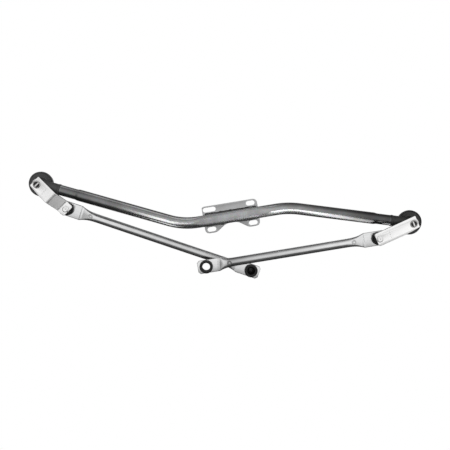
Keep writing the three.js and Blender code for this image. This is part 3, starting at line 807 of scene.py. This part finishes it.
def weld_bead(start, end, across, seed):
    """A rippled bead along local X in the corner between the tube and the bracket."""
    step, ripple_pitch, fade_length = 0.0004, 0.0024, 0.003
    around = [Vector((0, sin(angle), cos(angle))) for angle in angles_round(14)]
    sections = []
    for x in evenly(start, end, int((end - start) / step)):
        rough = noise.noise(Vector((x * 260, seed, 0)))
        ripple = sin(2 * pi * x / ripple_pitch) ** 2
        ends = min(1, (x - start) / fade_length + 0.25, (end - x) / fade_length + 0.25)
        radius = (0.0026 + 0.00045 * rough + 0.00022 * ripple) * sqrt(ends)
        centre = Vector((x, 0.0078 + 0.0003 * rough, across * (0.0102 + 0.0004 * rough)))
        sections.append([centre + way * radius for way in around])
    return skin(sections)


def add_weld(name, mesh, place):
    """Weld metal is part of the frame and stands for no CAD node of its own."""
    piece = set_down(name, mesh, place)
    mesh.materials.append(WELD)
    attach(piece, BODY_OF["centre_bracket"])


# ---- Spindle housings ----


def thread(radius, start, end, pitch, height):
    """Relief that cuts a helical thread into the surface of one radius between two depths."""

    def relief(here, depth, angle):
        if abs(here - radius) > 1e-6 or not start <= depth <= end:
            return here
        phase = (depth / pitch + angle / (2 * pi)) % 1
        fade = min(1, (depth - start) / pitch, (end - depth) / pitch)
        return here - height * fade * abs(2 * phase - 1)

    return relief


def depth_steps(radius, start, end, step):
    """Profile points at one radius, close enough together to carry a thread."""
    return [(radius, depth) for depth in evenly(start, end, ceil(abs(end - start) / step))]


def casting_blank():
    """Flange, barrel and neck, before they are blended into one casting."""
    rim_inner = FLANGE_RADIUS - 0.002
    rim_front = FLANGE_FRONT - 0.0008
    body = [
        (0, HOUSING_FRONT), (BARREL_RADIUS, HOUSING_FRONT, 0.001),
        (BARREL_RADIUS, FLANGE_FRONT, 0.0025), (rim_inner, FLANGE_FRONT, 0.0004),
        (rim_inner, rim_front, 0.0004), (FLANGE_RADIUS, rim_front, 0.0004),
        (FLANGE_RADIUS, FLANGE_REAR, 0.0006), (0, FLANGE_REAR),
    ]
    neck_end = TUBE_START - 0.0006
    neck = [
        (0, 0.002), (NECK_RADIUS + 0.0005, 0.002), (NECK_RADIUS, 0.020, 0.006),
        (NECK_RADIUS, neck_end - 0.0045, 0.001), (NECK_RADIUS + 0.0006, neck_end - 0.0035, 0.0005),
        (NECK_RADIUS + 0.0006, neck_end, 0.0005), (SPIGOT_RADIUS, neck_end, 0.0002),
        (SPIGOT_RADIUS, SPIGOT_END, 0.001), (0, SPIGOT_END),
    ]
    body_mesh = turned(body)
    neck_mesh = turned(neck)
    neck_mesh.transform(Matrix.Rotation(-pi / 2, 4, "Z"))
    rib = [
        (BARREL_RADIUS - 0.002, 0), (TUBE_START - 0.003, 0),
        (FLANGE_RADIUS - 0.003, FLANGE_FRONT + 0.002), (BARREL_RADIUS - 0.002, FLANGE_FRONT + 0.002),
    ]
    rib_mesh = skin([[Vector((x, depth, z)) for x, depth in rib] for z in (-RIB_HALF, RIB_HALF)])
    return combined(combined(body_mesh, neck_mesh, "UNION"), rib_mesh, "UNION")


def housing():
    """One die casting: fillets run where the neck meets the barrel, and the nose is threaded."""
    cast = with_modifiers(
        casting_blank(),
        ("REMESH", {"mode": "VOXEL", "voxel_size": 0.0005}),
        ("SMOOTH", {"factor": 0.5, "iterations": 5}),
    )
    thread_start, thread_end = FLANGE_REAR + 0.0015, HOUSING_REAR - 0.0006
    nose = [(0, FLANGE_REAR - 0.003), (NOSE_RADIUS - 0.001, FLANGE_REAR - 0.003)]
    nose += [(NOSE_RADIUS - 0.001, thread_start - 0.0008)]
    nose += depth_steps(NOSE_RADIUS, thread_start, thread_end, NOSE_PITCH / 8)
    nose += [(NOSE_RADIUS - 0.0011, HOUSING_REAR), (0, HOUSING_REAR)]
    relief = thread(NOSE_RADIUS, thread_start, thread_end, NOSE_PITCH, 0.0009)
    whole = combined(cast, lathe(nose, relief=relief), "UNION")
    seat = 0.0083
    bore = [
        (0, HOUSING_FRONT - 0.001), (seat, HOUSING_FRONT - 0.001), (seat, 0.0053), (0.0072, 0.0053),
        (0.0072, 0.0217), (seat, 0.0217), (seat, 0.0363), (0.009, 0.0363),
        (0.009, HOUSING_REAR + 0.001), (0, HOUSING_REAR + 0.001),
    ]
    return combined(whole, lathe(bore, sides=64), "DIFFERENCE")


def spindle_seal(front, rear):
    """An O-ring."""
    radius = (rear - front) / 2
    centre = (SPINDLE_RADIUS + CLEARANCE + radius, (front + rear) / 2)
    return lathe(arc(centre, radius, 0, 345, 23))


def panel_gasket(front, rear):
    """A rubber ring with a moulded groove in its rim and two sealing ribs on its rear face."""
    centre = (front + rear) / 2
    inner, outer = NOSE_RADIUS + RING_FIT, 0.022
    groove = (outer, -0.0008), (outer - 0.001, -0.0004), (outer - 0.001, 0.0004), (outer, 0.0008)
    ribs = (outer, 0), (outer - 0.002, 0), (outer - 0.0025, -0.0005), (outer - 0.005, -0.0005)
    corners = [(inner, front), (outer, front), *from_depth(centre, *groove)]
    corners += from_depth(rear, *ribs, (outer - 0.0055, 0), (inner, 0))
    return turned(corners, 0.0003, 3)


def panel_nut(front, rear):
    """A hexagon nut, chamfered at the rear and threaded."""
    apothem = NUT_ACROSS_FLATS / 2
    corner = apothem / cos(pi / 6)
    bore = NOSE_RADIUS + 0.0004
    cut = thread(bore, front, rear, NOSE_PITCH, -0.0005)

    def relief(radius, depth, angle):
        if radius <= bore:
            return cut(radius, depth, angle)
        from_flat = (angle % (pi / 3)) - pi / 6
        return min(radius, apothem / cos(from_flat))

    profile = [
        (bore + 0.0006, front), (apothem * 0.97, front), (corner, front + 0.0012),
        (corner, rear - 0.0015), (apothem * 0.96, rear - 0.0001), (apothem * 0.93, rear),
        (bore + 0.0006, rear),
    ]
    profile += depth_steps(bore, rear - 0.0005, front + 0.0005, NOSE_PITCH / 8)
    return lathe(profile, sides=144, relief=relief)


BUSH = partial(washer, SPINDLE_RADIUS + CLEARANCE, 0.008, edge=0.0004)
HOUSING_RINGS = (
    ("front_bush_ring", BUSH, "front_bush"),
    ("rear_bush_ring", BUSH, "rear_bush"),
    ("o_ring", spindle_seal, "spindle_seal"),
    ("rubber_gasket", panel_gasket, "panel_gasket"),
    ("large_washer", partial(washer, NOSE_RADIUS + RING_FIT, 0.020), "panel_washer"),
    ("threaded_nut", panel_nut, "panel_nut"),
)


def add_rings(side, place, rings):
    """Rings on a spindle's axis, each made from the front to the rear of the node it stands for."""
    for name, made, node in rings:
        add_piece(f"{side}_{name}", made(*depth_span(f"{side}_{node}")), place, f"{side}_{node}")


def add_housing(side, way):
    place = plan_frame(PIVOT[side], way)
    # Painted light: the left casting is painted lighter than the right one in front of its flange's rear
    # face.
    casting = with_painted_shade_and_light(housing(), lambda point: HOUSING_PAINTED_LIGHT[side] * (point.y < FLANGE_REAR))
    add_piece(side + "_cast_housing", casting, place, side + "_housing")
    add_rings(side, place, HOUSING_RINGS)


# ---- Spindles and the rings on them ----


def spindle():
    """From the staked head, past the collar and the clip's groove, to the knurled cone and the thread."""
    collar_front = CRANK_REAR + 0.0003
    groove_front, groove_rear = depth_span("left_circlip")
    groove_front -= CLEARANCE
    groove_rear += CLEARANCE
    groove_radius = 0.0051
    cone_start, cone_end, cone_tip = 0.047, 0.057, 0.0048
    thread_radius, pitch = 0.004, 0.00125
    sunk = (0, 0.0024), (0.005, 0.0024), (0.0054, 0.002)
    rim = (0.0056, -0.0001), (0.0058, -0.0004), (0.0062, -0.0004), (HEAD_RADIUS, 0)
    collar = (HEAD_RADIUS, 0), (0.0088, 0), (0.009, 0.0002), (0.009, 0.0018), (0.0088, 0.002)
    profile = [
        *from_depth(CRANK_FRONT, *sunk, *rim),
        *from_depth(collar_front, *collar, (SPINDLE_RADIUS, 0.002)),
        (SPINDLE_RADIUS, groove_front),
        (groove_radius, groove_front),
        (groove_radius, groove_rear),
        (SPINDLE_RADIUS, groove_rear),
        (SPINDLE_RADIUS, cone_start),
    ]
    for share in evenly(0, 1, 24)[1:]:
        profile.append((SPINDLE_RADIUS + (cone_tip - SPINDLE_RADIUS) * share, cone_start + 0.01 * share))
    thread_start, thread_end = cone_end + 0.0012, SPINDLE_END - 0.0008
    profile += [(0.0035, cone_end + 0.0002), (0.0035, thread_start - 0.0002)]
    profile += depth_steps(thread_radius, thread_start, thread_end, pitch / 8)
    profile += [(0.0031, SPINDLE_END), (0, SPINDLE_END)]
    cut = thread(thread_radius, thread_start, thread_end, pitch, 0.0007)
    teeth, tooth_depth = 36, 0.00028

    def relief(radius, depth, angle):
        if cone_start < depth < cone_end:
            share = smooth_step(depth, cone_start, cone_start + 0.0006)
            return radius - share * tooth_depth * (1 - abs(sin(teeth * angle / 2)))
        return cut(radius, depth, angle)

    return lathe(profile, sides=4 * teeth, relief=relief)


def in_head(place):
    """Whether a point of the spindle lies in the sunk face of its head."""
    below = place.y - CRANK_FRONT
    return 0.0008 < below < 0.003 and hypot(place.x, place.z) < HEAD_RADIUS - 0.0008


def staked_bar():
    """The bar that staking leaves across the spindle's head, rounded on top."""
    half_width, half_length = 0.0019, 0.0054
    top, bottom = CRANK_FRONT - 0.0002, CRANK_FRONT + 0.003
    sections = []
    for z in (-half_length, -half_length * 0.8, half_length * 0.8, half_length):
        drop = 0.0008 if abs(z) == half_length else 0
        corners = [
            (-half_width, bottom, 0), (-half_width * 0.9, top + 0.0006 + drop, 0.0004),
            (-half_width * 0.5, top + drop, 0.0004), (half_width * 0.5, top + drop, 0.0004),
            (half_width * 0.9, top + 0.0006 + drop, 0.0004), (half_width, bottom, 0),
        ]
        sections.append([Vector((x, y, z)) for x, y in soften(corners, steps=3)])
    return skin(sections)


def wave_washer(front, rear):
    """A thin spring ring bent into three waves."""
    centre = (front + rear) / 2
    half, wave = 0.00025, 0.00015
    mesh = washer(SPINDLE_RADIUS + RING_FIT, 0.0094, centre - half, centre + half, edge=0.00008)
    for vertex in mesh.vertices:
        vertex.co.y += wave * cos(3 * atan2(vertex.co.z, vertex.co.x))
    return mesh


def circlip(front, rear):
    """A spring clip with rounded ends at its mouth."""
    inner, outer, mouth = 0.0053, 0.0082, 35
    ring_middle, half_ring = (inner + outer) / 2, (outer - inner) / 2
    x, z = ring_middle * cos(radians(mouth)), ring_middle * sin(radians(mouth))
    outline = arc((0, 0), outer, mouth, 360 - mouth, 60)
    outline += arc((x, -z), half_ring, -mouth, 180 - mouth, 10)[1:-1]
    outline += arc((0, 0), inner, 360 - mouth, mouth, 60)
    outline += arc((x, z), half_ring, 180 + mouth, 360 + mouth, 10)[1:-1]
    return sheet_metal(outline, [], front, rear, 0.0002)


SPINDLE_RINGS = (
    ("front_thrust_ring", partial(washer, SPINDLE_RADIUS + RING_FIT, 0.011), "front_thrust_washer"),
    ("rear_thrust_ring", partial(washer, SPINDLE_RADIUS + RING_FIT, 0.010), "rear_thrust_washer"),
    ("wave_spring", wave_washer, "wave_washer"),
    ("spring_clip", circlip, "circlip"),
)


def add_spindle(side, place):
    # The sunk face of the head carries painted shade.
    shaft = with_painted_shade_and_light(combined(spindle(), staked_bar(), "UNION"), in_head)
    add_piece(side + "_splined_spindle", shaft, place, side + "_spindle")
    add_rings(side, place, SPINDLE_RINGS)


# ---- Cranks ----


def bend_ramp(distance, radius):
    """0 before a bend line and the distance past it after, rounded over the bend's radius."""
    if distance < -radius:
        return 0.0
    if distance > radius:
        return distance
    return (distance + radius) ** 2 / (4 * radius)


def fold_back(mesh, rise):
    """Steps a flat bar back between two bend lines and keeps its thickness."""
    centre_depth = (CRANK_FRONT + CRANK_REAR) / 2
    start, end = JOGGLE_START, JOGGLE_START + JOGGLE_LENGTH
    steepness = rise / JOGGLE_LENGTH

    def shift(x):
        return steepness * (bend_ramp(x - start, JOGGLE_RADIUS) - bend_ramp(x - end, JOGGLE_RADIUS))

    small = 1e-5
    for vertex in mesh.vertices:
        x = vertex.co.x
        offset = vertex.co.y - centre_depth
        slope = (shift(x + small) - shift(x - small)) / (2 * small)
        stretch = hypot(1, slope)
        vertex.co.x = x - offset * slope / stretch
        vertex.co.y = centre_depth + shift(x) + offset / stretch


def sliced(mesh, start, end, step):
    """The mesh with extra cuts across local X, so that it can bend."""
    builder = bmesh.new()
    builder.from_mesh(mesh)
    for x in evenly(start, end, ceil((end - start) / step)):
        everything = [*builder.verts, *builder.edges, *builder.faces]
        bmesh.ops.bisect_plane(builder, geom=everything, plane_co=(x, 0, 0), plane_no=(1, 0, 0))
    return finished(builder)


def punch_marks(x):
    """Cutters for a row of plain round punch marks across the crank's front."""
    marks = []
    for index, radius in enumerate((0.0008, 0.0006, 0.0009, 0.0006, 0.0008)):
        tip = [(0, -0.001), (radius * 2.2, -0.001), (radius, 0), (radius * 0.4, 0.0005), (0, 0.0006)]
        mark = lathe(tip, sides=20)
        marks.append(moved(mark, x=x, y=CRANK_FRONT, z=0.0027 * (index - 2)))
    return joined(marks)


def crank(length, rise, tube_side, mark_at):
    """A flat bar with two holes and a row of punch marks, stepped back if it has to rise."""
    end = length + CRANK_BALL_OVERHANG
    corners = [
        (-CRANK_PIVOT_OVERHANG, CRANK_BEVEL_DEPTH - CRANK_HALF_WIDTH, 0.0015),
        (CRANK_BEVEL_END, -CRANK_HALF_WIDTH, 0.006),
        (end, -CRANK_HALF_WIDTH, 0.0045),
        (end, CRANK_TUBE_SIDE["ball"], 0.0045),
        (-CRANK_PIVOT_OVERHANG, CRANK_TUBE_SIDE["pivot"], 0.0015),
    ]
    holes = [arc((0, 0), HEAD_RADIUS + RING_FIT, 0, 354, 59), arc((length, 0), 0.0053, 0, 354, 59)]
    outline = soften([(x, z * tube_side, rounding) for x, z, rounding in corners], steps=6)
    mesh = sheet_metal(outline, holes, CRANK_FRONT, CRANK_REAR, CRANK_EDGE)
    mesh = combined(mesh, punch_marks(mark_at), "DIFFERENCE")
    if rise > 0:
        margin = 0.004
        mesh = sliced(mesh, JOGGLE_START - margin, JOGGLE_START + JOGGLE_LENGTH + margin, 0.0006)
        fold_back(mesh, rise)
    return mesh


# ---- Ball joints ----


def ball_points(radius, start, end, steps):
    """Points on a ball from one polar angle to another, counted from the front pole."""
    return arc((0, 0), radius, start - 90, end - 90, steps)


def ball_stud():
    """Riveted head with a centre dimple and a ring from the tool, shank, collar, neck and ball."""
    rear = -BALL_STANDOFF
    front = rear - CRANK_THICKNESS
    neck = 0.0052
    neck_angle = degrees(asin(neck / BALL_RADIUS))
    head = from_depth(
        front,
        (0, -0.0004), (0.0008, -0.0006), (0.0015, -0.0012), (0.0034, -0.00125), (0.0038, -0.00085),
        (0.0042, -0.00085), (0.0046, -0.0012), (0.0053, -0.001), (0.0059, -0.0005), (0.006, -0.0001),
        (0.005, -0.0001),
    )
    collar = from_depth(
        rear,
        (0.005, 0.0003), (0.007, 0.0003), (0.0072, 0.0005), (0.0072, 0.0013), (0.007, 0.0015),
        (neck, 0.0021),
    )
    return lathe(head + collar + ball_points(BALL_RADIUS, neck_angle, 180, 28))


def ball_seal(side):
    """A soft lip ring with two small folds."""
    low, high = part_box(side + "_ball_seal")
    front, rear = low.y - CRANK_BALL[side].y, high.y - CRANK_BALL[side].y
    span = rear - front
    corners = [
        (0.0076, front), (0.0100, front), (0.0105, front + span * 0.2), (0.0100, front + span * 0.45),
        (0.0105, front + span * 0.75), (0.0099, rear), (0.008, rear),
    ]
    return turned(corners, 0.0003, 3)


def socket_front():
    """The socket's mouth, from the ball's equator out to the rod's plate."""
    outer, plate_side = SOCKET_RADIUS, PLATE_HALF_THICKNESS + 0.0002
    mouth = from_depth(
        -SOCKET_HALF_DEPTH,
        (0.0076, 0.0012), (0.0079, 0.0004), (0.0086, 0.0001), (0.0093, 0.0001), (0.0096, 0.0006),
        (0.0104, 0.0006), (0.0107, 0), (outer - 0.0007, 0), (outer - 0.0002, 0.0002), (outer, 0.0007),
    )
    waist = [
        (outer, -plate_side - 0.0004), (outer - 0.0004, -plate_side), (SOCKET_WAIST, -plate_side),
        (SOCKET_WAIST, plate_side), (SOCKET_REAR_RADIUS, plate_side),
    ]
    return ball_points(BALL_RADIUS + BALL_FIT, 90, 62, 8) + mouth + waist


def ring_socket():
    """Open on both sides, with a clipped rear edge."""
    outer = SOCKET_REAR_RADIUS
    clipped = (outer, -0.0014), (outer - 0.001, -0.0002), (outer - 0.0014, 0)
    rear = from_depth(SOCKET_HALF_DEPTH, *clipped, (0.0088, 0), (0.008, -0.0006))
    cavity = ball_points(BALL_RADIUS + BALL_FIT, 112, 90, 6)
    return lathe(socket_front() + rear + cavity[:-1])


def cup_socket():
    """Closed behind the ball by a dome with a moulding gate's mark in its middle."""
    outer = SOCKET_REAR_RADIUS
    rim = (outer, -0.001), (outer - 0.0004, -0.0003), (outer - 0.0014, 0), (0.0094, 0.0004)
    dome = (0.0078, -0.0012), (0.0066, -0.0002), (0.0058, 0), (0.0018, 0), (0.0016, -0.0003), (0, -0.0003)
    rear = from_depth(SOCKET_HALF_DEPTH, *rim) + from_depth(SOCKET_DOME, *dome)
    bottom = [(0, SOCKET_FLOOR), (0.0032, SOCKET_FLOOR)]
    bottom += ball_points(BALL_RADIUS + BALL_FIT, 156, 93, 16)
    return lathe(bottom + socket_front() + rear)


# ---- Push rods ----


def eased(value, start, end, ease):
    """0 before the start and 1 after the end, with a sharp start and a soft end."""
    return 1 - (1 - share_between(value, start, end)) ** ease


def rod_shape(x, length, plates):
    """Half width, half thickness, axis offset and skew of a rod at a distance from its crank ball."""
    plate, from_ball, inward = plates[0], x, 1
    if x > length / 2:
        plate, from_ball, inward = plates[1], length - x, -1
    width_share = eased(from_ball, PLATE_SHOULDER, plate["round_from"], SHOULDER_EASE)
    early_share = eased(from_ball, plate["crease"], plate["risen"], CREASE_EASE)
    late_share = smooth_step(from_ball, *LATE_RISE)
    thick_share = early_share + (late_share - early_share) * plate["late_share"]
    half_width = plate["half_width"] + (ROD_RADIUS - plate["half_width"]) * width_share
    half_thickness = PLATE_HALF_THICKNESS + (ROD_RADIUS - PLATE_HALF_THICKNESS) * thick_share
    from_tip = from_ball + PLATE_OVERHANG
    from_crease = (from_ball - plate["crease"]) / CREASE_HALF_WIDTH
    half_thickness += plate["ridge"] * max(0, 1 - from_crease * from_crease)
    half_thickness -= TIP_DROP * max(0, 1 - from_tip / TIP_LENGTH) ** 2
    half_width -= max(0, plate["corner_cut"] - from_tip)
    skew = inward * plate["skew"] * (1 - smooth_step(from_ball, plate["crease"], plate["round_from"]))
    skew *= smooth_step(from_ball, 0.014, plate["crease"])
    return half_width, half_thickness, ROD_AXIS_OFFSET * thick_share, skew


def rod_stations(length):
    """Distances along a rod: close together on its ends and wide apart between them."""
    steps = ((0.001, 0.0002), (0.075, 0.0008), (inf, 0.006))
    x, last = -PLATE_OVERHANG, length + PLATE_OVERHANG
    stations = []
    while x < last - 1e-6:
        stations.append(x)
        from_end = min(x + PLATE_OVERHANG, last - x)
        x += next(step for reach, step in steps if from_end < reach)
    return [*stations, last]


def rod_solid(stations, length, plates, inset):
    """A bar through the stations, with its section shrunk on all sides by an inset."""
    sections = []
    for x in stations:
        half_width, half_thickness, offset, skew = rod_shape(x, length, plates)
        half_width -= inset
        half_thickness -= inset
        section = []
        for angle in angles_round(40):
            across, through = cos(angle), sin(angle)
            flat = 0 if abs(across) < 1e-6 else copysign(max(0, half_width - half_thickness), across)
            z = flat + min(half_thickness, half_width) * across
            section.append(Vector((x + skew * z, offset + half_thickness * through, z)))
        sections.append(section)
    return skin(sections)


def dimple_cutter():
    """A ring-shaped punch: it sinks a round groove and leaves the middle standing."""
    outer, inner, deep = DIMPLE_RADIUS, DIMPLE_RADIUS * 0.42, 0.0008
    groove, half_groove = (inner + outer) / 2, 0.0006
    corners = [
        (inner, -0.002), (outer + 0.0004, -0.002), (outer, 0.0002), (groove + half_groove, deep),
        (groove - half_groove, deep), (inner, 0.0002),
    ]
    return turned(corners, 0.0003, 2, sides=48)


def push_rod(length, plates):
    """A tube pressed flat at both ends. Each shoulder has a punched dimple, and a drain hole behind it."""
    stations = rod_stations(length)
    bore_stations = [x for x in stations if PLATE_SHOULDER + 0.004 < x < length - PLATE_SHOULDER - 0.003]
    outside = rod_solid(stations, length, plates, 0)
    bore = rod_solid(bore_stations, length, plates, ROD_WALL)
    mesh = combined(outside, bore, "DIFFERENCE")
    cuts = [pin(PLATE_HOLE_RADIUS, -0.01, 0.01), pin(PLATE_HOLE_RADIUS, -0.01, 0.01, length)]
    dimples = (CRANK_PLATE["dimple"], length - MOTOR_PLATE["dimple"])
    for x in dimples:
        _, half_thickness, offset, _ = rod_shape(x, length, plates)
        cuts.append(moved(dimple_cutter(), x=x, y=offset - half_thickness))
        cuts.append(pin(DRAIN_RADIUS, ROD_AXIS_OFFSET, 0.02, x))

    def painted_tone_at(place):
        """Painted shade: in the dimples' grooves, more at the motor end, and over the tube, fading out
        towards its ends.
        """
        # Painted shade in a dimple's groove.
        for x, share in zip(dimples, DIMPLE_PAINTED_SHADE):
            from_dimple = hypot(place.x - x, place.z)
            if place.y < 0 and DIMPLE_RADIUS * 0.5 < from_dimple < DIMPLE_RADIUS - 0.0002:
                return share
        # Painted shade along the tube, heavier towards the motor.
        from_motor = length - place.x
        tube_shade = smooth_step(place.x, 0.07, 0.22) * smooth_step(from_motor, 0.030, 0.045)
        thickness = ROD_PAINTED_SHADE_AT_MOTOR + (1 - ROD_PAINTED_SHADE_AT_MOTOR) * smooth_step(from_motor, 0.055, 0.10)
        return ROD_PAINTED_SHADE * tube_shade * thickness

    return with_painted_shade_and_light(combined(mesh, joined(cuts), "DIFFERENCE"), painted_tone_at)


def add_crank_and_rod(side, tube_side, mark_at, motor_socket):
    crank_way = CRANK_BALL[side] - PIVOT[side]
    crank_way.y = 0
    crank_place = plan_frame(PIVOT[side], crank_way)
    add_spindle(side, crank_place)
    bar = crank(crank_way.length, JOGGLE[side], tube_side, mark_at)
    crank_bar = add_piece(side + "_crank_bar", bar, crank_place, side + "_crank")
    rod_way = MOTOR_BALL[side] - CRANK_BALL[side]
    rod_way.y = 0
    rod_place = plan_frame(CRANK_BALL[side], rod_way, CRANK_BALL[side].y)
    pieces = (
        ("riveted_ball", ball_stud(), side + "_ball_stud"),
        ("lip_seal", ball_seal(side), side + "_ball_seal"),
        ("closed_socket", cup_socket(), side + "_crank_socket"),
        ("tubular_rod", push_rod(rod_way.length, ROD_PLATES[side]), side + "_push_rod"),
        ("motor_socket", moved(motor_socket, x=rod_way.length), MOTOR_SOCKET[side]),
    )
    for name, mesh, node in pieces:
        add_piece(f"{side}_{name}", mesh, rod_place, node)
    return crank_bar


# ---- Assembly ----

WELDS = (
    ("upper_weld", -0.049, 0.050, 1, 1.5),
    ("lower_left_weld", -0.050, -0.014, -1, 4.5),
    ("lower_right_weld", 0.014, 0.050, -1, 8.5),
)
bracket_place = plan_frame(Vector((0, 0, 0)), heading(LEG_ANGLE["middle"]))
tube_place = Matrix.Translation((0, TUBE_DEPTH, 0))
TUBE = add_piece("bent_frame_tube", frame_tube(), tube_place, "frame_tube")
add_piece("slotted_bracket", centre_bracket(), bracket_place, "centre_bracket")
for weld_name, *run in WELDS:
    add_weld(weld_name, weld_bead(*run), bracket_place)
add_housing("left", heading(LEG_ANGLE["left"]))
add_housing("right", -heading(LEG_ANGLE["right"]))
LEFT_CRANK = add_crank_and_rod("left", 1, 0.0185, cup_socket())
add_crank_and_rod("right", -1, 0.0475, ring_socket())


# ---- Stage, light and camera ----


def area_light(name, place, target, size, radiance, lit=None, roll=0.0):
    """A soft rectangle that the camera doesn't see, rolled about its aim. It may light one object only."""
    lamp = bpy.data.lights.new(name, "AREA")
    lamp.shape = "RECTANGLE"
    lamp.size, lamp.size_y = size
    lamp.energy = radiance * pi * size[0] * size[1]
    holder = in_scene(name, lamp)
    holder.location = place
    aim = (Vector(target) - Vector(place)).to_track_quat("-Z", "Y").to_matrix()
    holder.rotation_euler = (aim @ Matrix.Rotation(radians(roll), 3, "Z")).to_euler()
    holder.visible_camera = False
    if lit:
        receivers = bpy.data.collections.new(name + "_receivers")
        receivers.objects.link(lit)
        holder.light_linking.receiver_collection = receivers


def studio_world():
    """Even white to the eye; for the lighting bright in front, and darker behind and towards all edges."""
    world = bpy.data.worlds.new("studio")
    bpy.context.scene.world = world
    graph = NodeTree(world)
    graph.tree.nodes.clear()
    x, y, z = graph.axes(graph.node("TexCoord").outputs["Generated"])
    ramps = (
        (y, -0.65, 0.42, 1.06, 0.3),
        (x, -0.65, -0.36, 0.3, 1.0),
        (x, 0.45, 0.80, 1.0, 0.9),
        (z, 0.5, 0.98, 1.0, 0.5),
        (z, -0.62, -0.12, 0.1, 1.0),
    )
    light = 1.0
    for ramp in ramps:
        light = graph.product(light, graph.spread(*ramp, interpolation_type="SMOOTHSTEP"))
    studio = graph.node("Background", {"Color": light})
    white = graph.node("Background", {"Color": (1, 1, 1, 1)})
    seen = graph.node("LightPath").outputs["Is Camera Ray"]
    choice = graph.node("MixShader", {0: seen, 1: studio.outputs[0], 2: white.outputs[0]})
    graph.node("OutputWorld", {0: choice.outputs[0]})


def pale_floor():
    """A wide floor well below the object, evenly lit."""
    builder = bmesh.new()
    bmesh.ops.create_grid(builder, x_segments=1, y_segments=1, size=4)
    mesh = bpy.data.meshes.new("floor")
    builder.to_mesh(mesh)
    builder.free()
    floor = in_scene("floor", mesh)
    floor.location.z = CAD_BOX[0].z - 0.45
    material = bpy.data.materials.new("pale_floor")
    material.use_nodes = True
    shader = material.node_tree.nodes["Principled BSDF"]
    shader.inputs["Base Color"].default_value = (0, 0, 0, 1)
    shader.inputs["Specular IOR Level"].default_value = 0
    shader.inputs["Emission Color"].default_value = (1, 1, 1, 1)
    shader.inputs["Emission Strength"].default_value = 1.0
    mesh.materials.append(material)
    floor.visible_glossy = False
    floor.visible_diffuse = False
    floor.visible_shadow = False


def add_camera():
    """Square to the linkage and seven degrees above it, as far off as a product picture is taken."""
    distance, elevation = 1.002, radians(7)
    way = Vector((0, cos(elevation), -sin(elevation)))
    aim = Vector((-0.0115, TUBE_DEPTH, -0.0158))
    data = bpy.data.cameras.new("camera")
    data.sensor_width = 36
    data.lens = 42.4
    camera = in_scene("camera", data)
    camera.location = aim - way * distance
    camera.rotation_euler = way.to_track_quat("-Z", "Y").to_euler()
    bpy.context.scene.camera = camera


studio_world()
pale_floor()
area_light("rear_softbox", (0, 1.25, 0.1), (0, 0, 0), (1.7, 1.1), 0.8)
area_light("left_glow", (-0.20, -0.42, -0.12), (-0.135, 0, 0), (0.11, 0.36), 3.4, TUBE, roll=-18)
area_light("left_line", (-0.235, -0.10, -0.38), (-0.12, 0, 0), (0.12, 0.13), 3.6, TUBE)
area_light("left_sky", (-0.27, 0.02, 0.55), (-0.22, 0, 0), (0.28, 0.65), 1.1, TUBE)
area_light("right_glow", (0.268, -0.18, -0.32), (0.21, 0, 0), (0.15, 0.80), 5.6, TUBE, roll=28)
area_light("crank_fill", (0.15, -0.15, -0.40), (-0.2, 0, 0), (0.5, 0.5), 0.6, LEFT_CRANK)
add_camera()
bpy.context.scene.view_settings.view_transform = "Standard"
